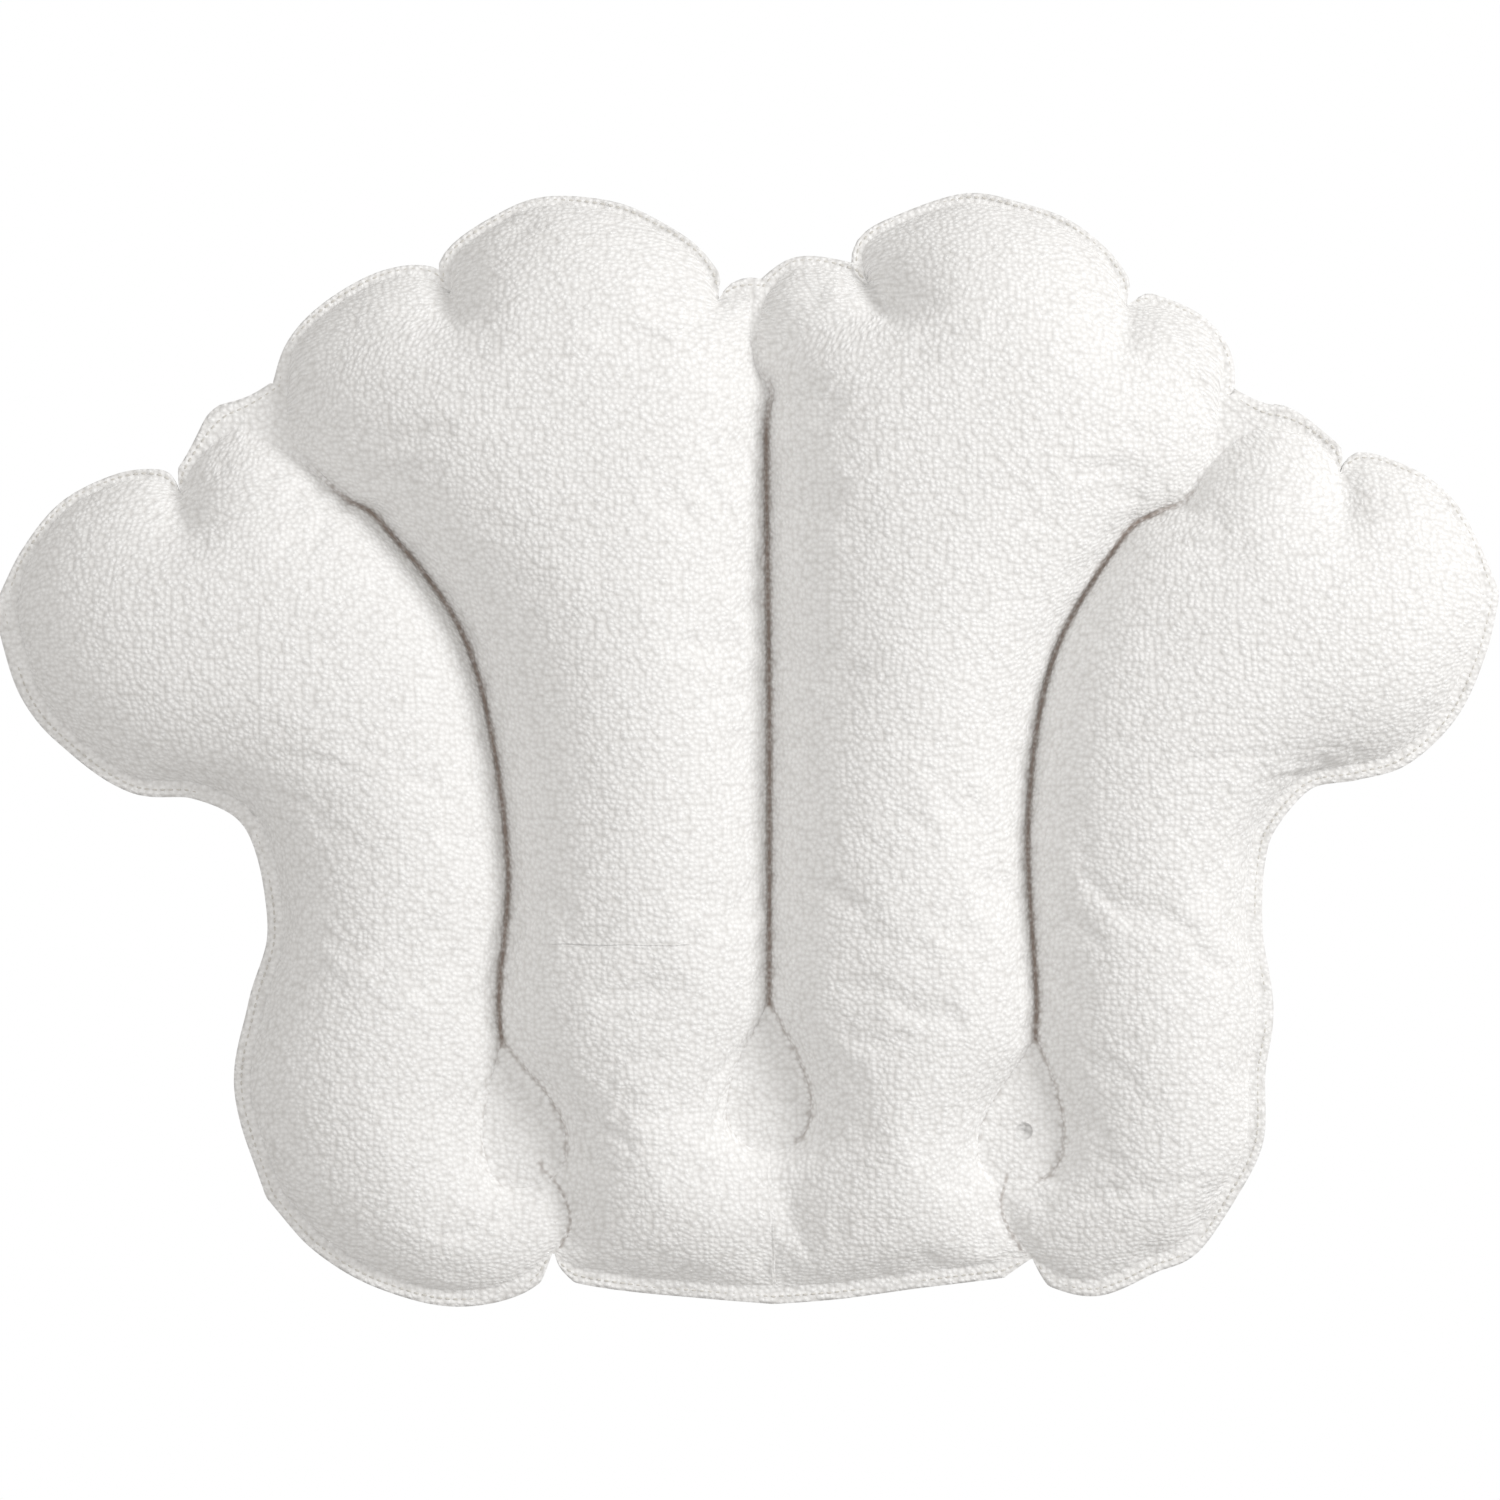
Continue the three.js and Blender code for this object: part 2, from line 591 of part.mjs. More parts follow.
const tetherStrap = new THREE.ExtrudeGeometry(tetherShape, { depth: TETHER_WIDTH, bevelEnabled: false })
  .translate(0, 0, -TETHER_WIDTH / 2)
  .rotateX(Math.PI / 2)
  .rotateZ(Math.PI / 2);
valve.add(piece("valve_tether", tetherStrap, WHITE_VINYL));

pillow.rotation.x = Math.PI / 2;
export default pillow;
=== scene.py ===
import math

import bmesh
import bpy
import numpy as np
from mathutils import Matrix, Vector
from mathutils.geometry import delaunay_2d_cdt


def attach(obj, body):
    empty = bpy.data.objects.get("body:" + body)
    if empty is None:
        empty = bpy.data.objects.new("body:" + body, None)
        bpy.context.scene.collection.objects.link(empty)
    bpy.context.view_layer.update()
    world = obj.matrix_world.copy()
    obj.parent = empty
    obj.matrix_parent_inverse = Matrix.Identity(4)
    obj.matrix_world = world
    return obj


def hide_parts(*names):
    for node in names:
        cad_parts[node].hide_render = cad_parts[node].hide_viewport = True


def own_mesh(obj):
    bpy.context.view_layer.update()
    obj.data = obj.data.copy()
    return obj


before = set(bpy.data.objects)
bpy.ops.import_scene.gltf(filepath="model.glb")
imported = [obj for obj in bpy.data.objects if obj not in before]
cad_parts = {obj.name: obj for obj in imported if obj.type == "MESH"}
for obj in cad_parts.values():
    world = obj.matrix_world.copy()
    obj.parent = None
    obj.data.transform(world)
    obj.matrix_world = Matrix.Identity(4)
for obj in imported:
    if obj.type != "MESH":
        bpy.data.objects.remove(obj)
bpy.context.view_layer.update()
scene = bpy.context.scene

# Camera and studio: a long lens straight in front of the terry face, a white room with a warm glow, a
# soft box from the upper right, a weaker one near the lens, and one behind that shows the back.
FLANGE_DEPTH = 0.05
VIEW_WIDTH = 0.5505
LENS, SENSOR = 100.0, 36.0
ROOM_COLOUR, ROOM_STRENGTH = (1.0, 0.975, 0.945, 1.0), 0.57


def added(name, data):
    """A new object in the scene."""
    made = bpy.data.objects.new(name, data)
    scene.collection.objects.link(made)
    return made


eye = bpy.data.cameras.new("eye")
eye.lens, eye.sensor_width, eye.clip_end = LENS, SENSOR, 200.0
scene.camera = added("eye", eye)
scene.camera.location = (0.0, -FLANGE_DEPTH - VIEW_WIDTH * LENS / SENSOR, 0.0)
scene.camera.rotation_euler = (math.pi / 2, 0.0, 0.0)
scene.view_settings.view_transform = "Standard"


def soft_box(name, place, size, watts):
    """A round lamp in metres that looks at the middle of the part."""
    lamp = bpy.data.lights.new(name, "AREA")
    lamp.shape, lamp.size, lamp.energy = "DISK", size, watts
    holder = added(name, lamp)
    holder.location = place
    aim = np.array(place) / np.linalg.norm(place)
    holder.rotation_euler = (math.acos(aim[2]), 0.0, math.atan2(aim[1], aim[0]) + math.pi / 2)


soft_box("key light", place=(1.9, -1.3, 0.8), size=0.8, watts=29.5)
soft_box("fill light", place=(-0.5, -1.8, 0.4), size=0.6, watts=5.0)
soft_box("back light", place=(-1.6, 1.5, 0.9), size=0.6, watts=26.0)

sky = bpy.data.worlds.new("white room")
sky.use_nodes = True
sky_nodes, sky_links = sky.node_tree.nodes, sky.node_tree.links
room_light = sky_nodes["Background"]
room_light.inputs["Color"].default_value = ROOM_COLOUR
room_light.inputs["Strength"].default_value = ROOM_STRENGTH
seen_white = sky_nodes.new("ShaderNodeBackground")
seen_white.inputs["Color"].default_value = (1.0, 1.0, 1.0, 1.0)
seen_white.inputs["Strength"].default_value = 1.0
ray = sky_nodes.new("ShaderNodeLightPath")
either = sky_nodes.new("ShaderNodeMixShader")
sky_links.new(ray.outputs["Is Camera Ray"], either.inputs[0])
sky_links.new(room_light.outputs[0], either.inputs[1])
sky_links.new(seen_white.outputs[0], either.inputs[2])
sky_links.new(either.outputs[0], sky_nodes["World Output"].inputs["Surface"])
scene.world = sky

# Terry front: white towelling bonded to film, welded flat to the back round the edge and along three
# seams. Each seam ends in a teardrop flat, and air swells the rest into four lobes over one lower band.
# The flat plan and the heights from the wall are in mm, and MM turns them into metres.
MM = 0.001
TERRY_LEVEL = 51.7
TERRY_THICKNESS = 3.68
FRONT_ARC_DEPTH, FRONT_REACH, REACH_POWER = 21.0, 50.0, 6
FLANGE_WIDTH = 6.0
TOP_TRIM, TOP_TRIM_RUN = 2.6, 14.0
SEAM_WIDTH = 1.2
TEARDROP_WIDTH, TEARDROP_LENGTH, TEARDROP_TAPER = 31.0, 56.0, 1.5
FLARE_LENGTH = 28.0
HEADING_SPAN = 0.3
NOTCH_FLANGE, NOTCH_SPREAD = 0.4, 0.55
END_CROWDING, ROUND_END_CROWDING, BAND_CROWDING = 1.4, 1.6, 0.8
EVEN_SWEEPS, MAX_SWEEPS = 300, 3000
TACK_STEPS, LEAST_AREA, FILM_TOLERANCE = 6, 1e-6, 1e-9
SEAM_LINES = [
    [(-72, -184), (-66, -174), (-69, -162), (-80, -151), (-86, -128), (-92, -95), (-89, -37),
     (-103, 37), (-134, 82), (-148, 92), (-159, 102), (-169, 111), (-179, 125)],
    [(9, -197), (7, -147), (7, -97), (7, 18), (6, 112), (8, 131), (3, 140), (1.5, 152), (3, 167)],
    [(103, -186), (95, -176), (92, -165), (97, -152), (102, -128), (105, -94), (102, -26),
     (111, 33), (136, 77), (149, 87), (160, 92), (168, 105), (180, 124)],
]
TEARDROP_ABOVE = [31.0, 50.0, 31.0]
SEAM_FLARE = [11.0, 2.5, 9.0]
LEFT_SIDE = [
    (-172, -161), (-183, -125), (-178, -94), (-171, -68), (-175, -38), (-184, -21),
    (-203, -12), (-225, -10), (-246, 4), (-261, 22), (-269, 52)]
RIGHT_SIDE = [
    (172, -163), (182, -143), (183, -117), (186, -95), (182, -66), (183, -40), (188, -25),
    (203, -9), (222, -5), (238, 0), (254, 15), (264, 37), (269, 57)]
LOBE_BOTTOMS = [
    [(-158, -177), (-142, -188), (-121, -196), (-103, -198), (-86, -194)],
    [(-64, -189), (-40, -193), (-18, -195)],
    [(35, -195), (64, -191), (88, -188)],
    [(114, -192), (128, -194), (146, -186), (160, -180)],
]
LOBE_SCALLOPS = [
    [[(-261, 70), (-249, 86), (-232, 95), (-218, 97), (-209, 94)], [(-202, 103)]],
    [[(-165, 146), (-154, 158), (-136, 169), (-121, 172), (-110, 168)],
     [(-107, 179), (-92, 190), (-75, 197), (-51, 195), (-35, 188), (-22, 179), (-12, 165)], []],
    [[(18, 175), (35, 173), (44, 169)],
     [(44, 183), (57, 191), (79, 198), (97, 195), (114, 189), (128, 178), (138, 163)],
     [(148, 161), (163, 154), (171, 143)]],
    [[(202, 113), (212, 107), (216, 101)], [(222, 103), (230, 102), (247, 94), (258, 81)]],
]
SCALLOP_SHARES = [[5, 2], [4, 5, 1], [2, 5, 3], [2, 5]]
# Where the flange is broader: a place, its reach and the width it adds
FLANGE_TABS = [((-193, 117), 11.0, 5.0), ((196, 119), 11.0, 4.0), ((-268, 45), 26.0, 2.0)]


def line_through(points, steps=24):
    """Smooth line through the points of a welding die."""
    p = np.asarray(points, float)
    ends = np.vstack([p[:1], p, p[-1:]])
    t = np.linspace(0, 1, steps, endpoint=False)[:, None]
    runs = [0.5 * (2 * b + (c - a) * t + (2 * a - 5 * b + 4 * c - d) * t**2 + (3 * b - 3 * c + d - a) * t**3)
            for a, b, c, d in zip(ends[:-3], ends[1:-2], ends[2:-1], ends[3:])]
    return np.vstack(runs + [p[-1:]])


def run_of(line):
    """Length along a line up to each of its points."""
    return np.concatenate([[0.0], np.cumsum(np.linalg.norm(np.diff(line, axis=0), axis=1))])


def at_shares(line, shares):
    """Points at shares of a line's length."""
    run = run_of(line)
    return np.stack([np.interp(np.asarray(shares) * run[-1], run, line[:, k]) for k in (0, 1)], axis=1)


def left_of(headings):
    """Unit normals on the left of a line's headings."""
    normals = np.stack([-headings[:, 1], headings[:, 0]], axis=1)
    return normals / np.maximum(np.linalg.norm(normals, axis=1), 1e-9)[:, None]


def teardrop_half(angle):
    """Half the width of a teardrop flat, from its round end to its point."""
    widest = math.atan(math.sqrt(TEARDROP_TAPER + 1))
    peak = 2 * math.sin(widest) ** (TEARDROP_TAPER + 1) * math.cos(widest)
    return TEARDROP_WIDTH / 2 / peak * np.sin(angle) * np.sin(angle / 2) ** TEARDROP_TAPER


def patch_between(left, right, bottom, top, across, up):
    """Points of a lobe from its four edges, blended in both directions."""
    v, u = across[None, :, None], up[:, None, None]
    sides = left[:, None] * (1 - v) + right[:, None] * v
    ends = bottom[None] * (1 - u) + top[None] * u
    corners = (left[0] * (1 - v) + right[0] * v) * (1 - u) + (left[-1] * (1 - v) + right[-1] * v) * u
    return sides + ends - corners


def evened(xy, across, up, sweeps):
    """The inner points of a lobe moved until no two lines of the net cross. Its edges stay."""
    h0, h1 = np.diff(across)[:-1], np.diff(across)[1:]
    k0, k1 = np.diff(up)[:-1, None], np.diff(up)[1:, None]
    h0, h1, k0, k1 = h0[None, :, None], h1[None, :, None], k0[..., None], k1[..., None]
    for _ in range(sweeps):
        w, e, s, n = xy[1:-1, :-2], xy[1:-1, 2:], xy[:-2, 1:-1], xy[2:, 1:-1]
        a_run, u_run = (e - w) / (h0 + h1), (n - s) / (k0 + k1)
        alpha = (u_run**2).sum(-1, keepdims=True)
        gamma = (a_run**2).sum(-1, keepdims=True)
        beta = (a_run * u_run).sum(-1, keepdims=True)
        twist = (xy[2:, 2:] - xy[2:, :-2] - xy[:-2, 2:] + xy[:-2, :-2]) / ((h0 + h1) * (k0 + k1))
        pull = (alpha * 2 / (h0 + h1) * (e / h1 + w / h0) + gamma * 2 / (k0 + k1) * (n / k1 + s / k0)
                - 2 * beta * twist)
        xy[1:-1, 1:-1] = pull / (alpha * 2 / (h0 * h1) + gamma * 2 / (k0 * k1))
    return xy


def pillow_plan(columns, strip_columns, band_rows, teardrop_rows, tube_rows, flange_rings):
    """The flat weld plan: points, those that air lifts, quads, and rings from the weld to the outline."""
    up_drop = (np.arange(teardrop_rows) / teardrop_rows) ** ROUND_END_CROWDING
    angle = np.arccos(2 * up_drop - 1)
    up_band = np.arange(band_rows) / band_rows
    up_band -= BAND_CROWDING * np.sin(2 * math.pi * up_band) / (2 * math.pi)
    seams = []
    for line, above, flare in zip(SEAM_LINES, TEARDROP_ABOVE, SEAM_FLARE):
        curve = line_through(line)
        length = run_of(curve)[-1]
        band = above * up_band
        drop = above + TEARDROP_LENGTH * up_drop
        start = above + TEARDROP_LENGTH
        tube = length - (length - start) * (1 - np.arange(tube_rows + 1) / tube_rows) ** END_CROWDING
        into_flare = np.clip(1 - (length - tube) / FLARE_LENGTH, 0, 1)
        half = np.concatenate([np.full(band_rows, SEAM_WIDTH / 2),
                               np.maximum(SEAM_WIDTH / 2, teardrop_half(angle)),
                               SEAM_WIDTH / 2 + flare * into_flare**2])
        shares = np.concatenate([band, drop, tube]) / length
        nudge = HEADING_SPAN * TEARDROP_LENGTH / length
        ahead, behind = np.clip(shares + nudge, 0, 1), np.clip(shares - nudge, 0, 1)
        heading = at_shares(curve, ahead) - at_shares(curve, behind)
        sideways = left_of(heading) * half[:, None]
        middle = at_shares(curve, shares)
        seams.append({"shares": shares, "left": middle + sideways, "right": middle - sideways})

    points, lifted, quads, grids, strips, notches, trims = [], [], [], [], [], [], {}

    def lay(xy, free):
        first = sum(len(p) for p in points)
        points.append(xy.reshape(-1, 2))
        lifted.append(free.ravel())
        return first + np.arange(free.size).reshape(free.shape)

    def join(a):
        quads.append(np.stack([a[:-1, :-1], a[:-1, 1:], a[1:, 1:], a[1:, :-1]], axis=-1).reshape(-1, 4))

    even = np.arange(columns + 1) / columns
    across = (1 - np.cos(np.pi * even)) / 2
    for k in range(4):
        shares = seams[min(k, 2)]["shares"]
        left = seams[k - 1]["right"] if k else at_shares(line_through(LEFT_SIDE), shares)
        right = seams[k]["left"] if k < 3 else at_shares(line_through(RIGHT_SIDE), shares)
        bottom = at_shares(line_through([left[0], *LOBE_BOTTOMS[k], right[0]]), even)
        stops = np.round(np.cumsum(SCALLOP_SHARES[k]) / sum(SCALLOP_SHARES[k]) * columns).astype(int)
        top = left[-1:]
        trim = np.zeros(1)
        for scallop, stop in zip(LOBE_SCALLOPS[k], stops):
            through = [top[-1], *scallop] + ([right[-1]] if stop == columns else [])
            steps = stop - len(top) + 1
            arc = at_shares(line_through(through), np.arange(steps + 1) / steps)
            gap = np.minimum(run_of(arc), run_of(arc)[::-1].max() - run_of(arc))
            trimmed = TOP_TRIM * np.clip(gap / TOP_TRIM_RUN, 0, 1)
            arc += left_of(np.gradient(arc, axis=0)) * trimmed[:, None]
            top, trim = np.vstack([top, arc[1:]]), np.concatenate([trim, trimmed[1:]])
        xy = evened(patch_between(left, right, bottom, top, across, shares), across, shares, EVEN_SWEEPS)
        free = np.ones(xy.shape[:2], bool)
        free[[0, -1]] = False
        free[band_rows:, [0, -1]] = False
        free[:, [0, -1]] &= [k > 0, k < 3]
        grids.append(lay(xy, free))
        join(grids[k])
        trims.update(zip(grids[k][-1], trim))
        notches += [grids[k][-1, stop] for stop in stops[:-1]]
        notches += [grids[k][0, end] for end, seam in ((0, k - 1), (-1, k)) if seam in (0, 2)]
    xy = np.vstack(points)
    for k in range(3):
        share = np.linspace(0, 1, strip_columns + 1)[1:-1, None]
        inner = xy[grids[k][:, -1]][:, None] * (1 - share) + xy[grids[k + 1][:, 0]][:, None] * share
        free = np.zeros(inner.shape[:2], bool)
        free[1:band_rows] = True
        strips.append(np.hstack([grids[k][:, -1:], lay(inner, free), grids[k + 1][:, :1]]))
        join(strips[k])

    # Weld loop, against the clock's way from the bottom left, and the outline outside it
    bottoms = [grids[0][0]] + [part for k in range(3) for part in (strips[k][0, 1:-1], grids[k + 1][0])]
    tops = [grids[3][-1, -2::-1]]
    for k in (2, 1, 0):
        tops += [strips[k][-1, -2:0:-1], grids[k][-1, ::-1]]
    weld = np.concatenate(bottoms + [grids[3][1:, -1]] + tops + [grids[0][-2:0:-1, 0]])
    xy = np.vstack(points)[weld]
    run = run_of(np.vstack([xy, xy[:1]]))
    away = [abs(run[:-1] - run[np.nonzero(weld == notch)[0][0]]) for notch in notches]
    gap = np.min([np.minimum(a, run[-1] - a) for a in away], axis=0)
    full = FLANGE_WIDTH - np.array([trims.get(point, 0.0) for point in weld])
    for place, reach, extra in FLANGE_TABS:
        full += extra * np.exp(-((np.linalg.norm(xy - place, axis=1) / reach) ** 2))
    width = np.minimum(full, NOTCH_FLANGE + NOTCH_SPREAD * gap)
    around = np.roll(xy, -2, axis=0) - np.roll(xy, 2, axis=0)
    outline = xy - left_of(around) * width[:, None]
    rings = [weld]
    for ring in range(1, flange_rings + 1):
        share = ring / flange_rings
        rings.append(lay((xy * (1 - share) + outline * share)[None], np.zeros((1, len(xy)), bool))[0])
        outer, inner = rings[-1], rings[-2]
        quads.append(np.stack([outer, np.roll(outer, -1), np.roll(inner, -1), inner], axis=-1))
    return {"xy": np.vstack(points), "free": np.concatenate(lifted), "quads": np.vstack(quads),
            "grids": grids, "strips": strips, "rings": rings, "gap": gap}


def corners_cut(xy, quads):
    """Triangles of the quads, each cut along the diagonal that leaves the fuller halves."""
    def area(a, b, c):
        p, q, r = xy[a], xy[b], xy[c]
        return (q[:, 0] - p[:, 0]) * (r[:, 1] - p[:, 1]) - (r[:, 0] - p[:, 0]) * (q[:, 1] - p[:, 1])
    a, b, c, d = quads.T
    first = np.minimum(area(a, b, c), area(a, c, d)) > np.minimum(area(a, b, d), area(b, c, d))
    one = np.where(first[:, None], np.stack([a, b, c], 1), np.stack([a, b, d], 1))
    two = np.where(first[:, None], np.stack([a, c, d], 1), np.stack([b, c, d], 1))
    return np.vstack([one, two])


def near_line(xy, line):
    """Distance of points from a line and the share of the line's length at the nearest place."""
    run = run_of(line)
    best, share = np.full(len(xy), np.inf), np.zeros(len(xy))
    for a, b, start, stop in zip(line[:-1], line[1:], run[:-1], run[1:]):
        along = np.clip((xy - a) @ (b - a) / max((b - a) @ (b - a), 1e-9), 0, 1)
        off = np.linalg.norm(xy - a - along[:, None] * (b - a), axis=1)
        closer = off < best
        best[closer], share[closer] = off[closer], ((start + along * (stop - start)) / run[-1])[closer]
    return best, share


def tack_grip(xy, tacks):
    """How hard the film is caught at each point. A tack is a line, its grip, its breadth and its fade."""
    caught = np.zeros(len(xy))
    for line, grip, breadth, fade in tacks:
        off, along = near_line(xy, line_through(line, TACK_STEPS))
        caught += grip * (1 - along) ** fade * np.exp(-((off / breadth) ** 2))
    return caught


def air_lift(plan, tacks):
    """Height that air gives a film held at the welds: half-round over a long lobe of even width."""
    xy, free = plan["xy"], plan["free"]
    tri = corners_cut(xy, plan["quads"])
    p = xy[tri]
    edge = np.roll(p, -2, axis=1) - np.roll(p, -1, axis=1)
    area = np.abs(edge[:, 0, 0] * edge[:, 1, 1] - edge[:, 0, 1] * edge[:, 1, 0]) / 2 + LEAST_AREA
    stiff = np.einsum("tid,tjd->tij", edge, edge) / (4 * area)[:, None, None]
    count = len(xy)
    rows, cols = np.repeat(tri, 3, axis=1).ravel(), np.tile(tri, (1, 3)).ravel()
    key, where = np.unique(rows * count + cols, return_inverse=True)
    weight = np.bincount(where, weights=stiff.ravel())
    rows, cols = key // count, key % count
    starts = np.searchsorted(rows, np.arange(count))
    share = np.bincount(tri.ravel(), weights=np.repeat(area / 3, 3), minlength=count)
    spring = tack_grip(xy, tacks) * share
    diagonal = weight[rows == cols] + spring

    def pull(u):
        return (np.add.reduceat(weight * u[cols], starts) + spring * u) * free

    film = np.zeros(count)
    rest = share * free
    step = rest / diagonal
    size = rest @ step
    for _ in range(MAX_SWEEPS):
        if size < FILM_TOLERANCE * (share @ (share / diagonal)):
            break
        pulled = pull(step)
        gain = size / (step @ pulled)
        film += gain * step
        rest = rest - gain * pulled
        scaled = rest / diagonal
        size, before = rest @ scaled, size
        step = scaled + size / before * step
    return np.sqrt(2 * np.maximum(film, 0))


# Where the film is caught: short puckers in from the notches and folds in the lower band. A line, how
# hard it is caught at its first end, how broad the dip is, and how fast the grip fades along the line.
PUCKERS = [
    ([(-209, 94), (-207, 86), (-203, 74)], 0.30, 3.0, 2.0),
    ([(-110, 168), (-109, 160), (-105, 148)], 0.25, 3.0, 2.0),
    ([(-12, 165), (-15, 158), (-19, 146)], 0.12, 3.0, 2.0),
    ([(44, 169), (48, 162), (54, 150)], 0.40, 3.0, 2.0),
    ([(138, 163), (136, 152), (131, 136)], 0.25, 3.0, 2.0),
    ([(216, 101), (217, 90), (213, 72)], 0.25, 3.0, 2.0),
    ([(-72, -186), (-66, -174), (-69, -162), (-78, -151)], 8.0, 1.6, 0.15),
    ([(103, -188), (95, -176), (92, -165), (96, -152)], 8.0, 1.6, 0.15),
    ([(12, -198), (9, -185), (14, -170), (11, -154)], 0.04, 5.0, 0.5),
]
plan = pillow_plan(columns=84, strip_columns=12, band_rows=24, teardrop_rows=42, tube_rows=168,
                   flange_rings=4)
lift = air_lift(plan, PUCKERS)
eased_lift = lift / (1 + (lift / FRONT_REACH) ** REACH_POWER) ** (1 / REACH_POWER)
front_rise = np.hypot(FRONT_ARC_DEPTH, eased_lift) - FRONT_ARC_DEPTH


def stood_up(xy, height):
    """Plan points and heights from the wall, in mm, to places in metres on the hung pillow."""
    return np.stack([xy[:, 0], -height, xy[:, 1]], axis=1) * MM


FLUTTER_HEADING, FLUTTER_HEIGHT, FLUTTER_RUN, FLUTTER_SWAY_RUN = np.array([0.8, 0.6]), 0.9, 9.0, 37.0
RIPPLE_HEADING, RIPPLE_HEIGHT, RIPPLE_RUN = np.array([0.5, -0.87]), 0.4, 3.7
FLUTTER_GROWTH, NOTCH_CALM = 1.5, 10.0


def flange_flutter(xy):
    """The soft waves of the free edge: long ones that sway, and short ripples across them."""
    sway = 2 * np.sin(xy[:, 1] / FLUTTER_SWAY_RUN)
    long_waves = FLUTTER_HEIGHT * np.sin(xy @ FLUTTER_HEADING / FLUTTER_RUN + sway)
    return long_waves + RIPPLE_HEIGHT * np.sin(xy @ RIPPLE_HEADING / RIPPLE_RUN)


def edge_waved(height, plan):
    """The heights with the flange's waves, none at the weld and full at the edge."""
    for order, ring in enumerate(plan["rings"]):
        share = order / (len(plan["rings"]) - 1)
        calm = np.clip(plan["gap"] / NOTCH_CALM, 0, 1)
        height[ring] += flange_flutter(plan["xy"][ring]) * share**FLUTTER_GROWTH * calm
    return height


def net_quads(net):
    """The corners of each face of a net of points."""
    corners = np.stack([net[:-1, :-1], net[:-1, 1:], net[1:, 1:], net[1:, :-1]], axis=2)
    return corners.reshape(-1, 4, *net.shape[2:])


def point_normals(points, quads):
    """Unit normals at the points of a net."""
    each = np.cross(points[quads[:, 2]] - points[quads[:, 0]], points[quads[:, 3]] - points[quads[:, 1]])
    normal = np.stack([np.bincount(quads.ravel(), weights=np.repeat(each[:, axis], 4), minlength=len(points))
                       for axis in range(3)], axis=1)
    return normal / np.maximum(np.linalg.norm(normal, axis=1), 1e-12)[:, None]


def new_piece(name, points, faces, corners=None):
    """A smooth mesh piece from places in metres. corners is the flat cloth under its first faces."""
    mesh = bpy.data.meshes.new(name)
    mesh.from_pydata([tuple(p) for p in points], [], [tuple(int(v) for v in face) for face in faces])
    if corners is not None:
        flat = np.zeros((len(mesh.loops), 2))
        flat[: len(corners) * 4] = corners.reshape(-1, 2)
        mesh.uv_layers.new(name="cloth").data.foreach_set("uv", flat.ravel())
    mesh.validate()
    mesh.polygons.foreach_set("use_smooth", np.ones(len(mesh.polygons), bool))
    return added(name, mesh)


def spaced(run, least):
    """Indices along a run that lie at least so far apart, with both ends."""
    kept = [0]
    for k in range(1, len(run) - 1):
        if run[k] - run[kept[-1]] >= least and run[-1] - run[k] >= least:
            kept.append(k)
    return np.array(kept + [len(run) - 1])


def smooth_weights(known, wanted):
    """Weights that carry values at known places along a line smoothly to the wanted places."""
    gap = np.diff(known)
    bend, pull = np.eye(len(known)), np.zeros((len(known), len(known)))
    for k in range(1, len(known) - 1):
        bend[k, k - 1 : k + 2] = gap[k - 1] / 6, (gap[k - 1] + gap[k]) / 3, gap[k] / 6
        pull[k, k - 1 : k + 2] = 1 / gap[k - 1], -1 / gap[k - 1] - 1 / gap[k], 1 / gap[k]
    curve, value = np.linalg.solve(bend, pull), np.eye(len(known))
    low = np.clip(np.searchsorted(known, wanted, "right") - 1, 0, len(known) - 2)
    b = ((wanted - known[low]) / gap[low])[:, None]
    a = 1 - b
    bowed = ((a**3 - a) * curve[low] + (b**3 - b) * curve[low + 1]) * (gap[low] ** 2 / 6)[:, None]
    return a * value[low] + b * value[low + 1] + bowed


SIM_SPACING, SIM_STRIP_STEP, SIM_FRAMES, LEAST_HOLD = 3.6 * MM, 3, 20, 0.02
AIR_PRESSURE = 3.0


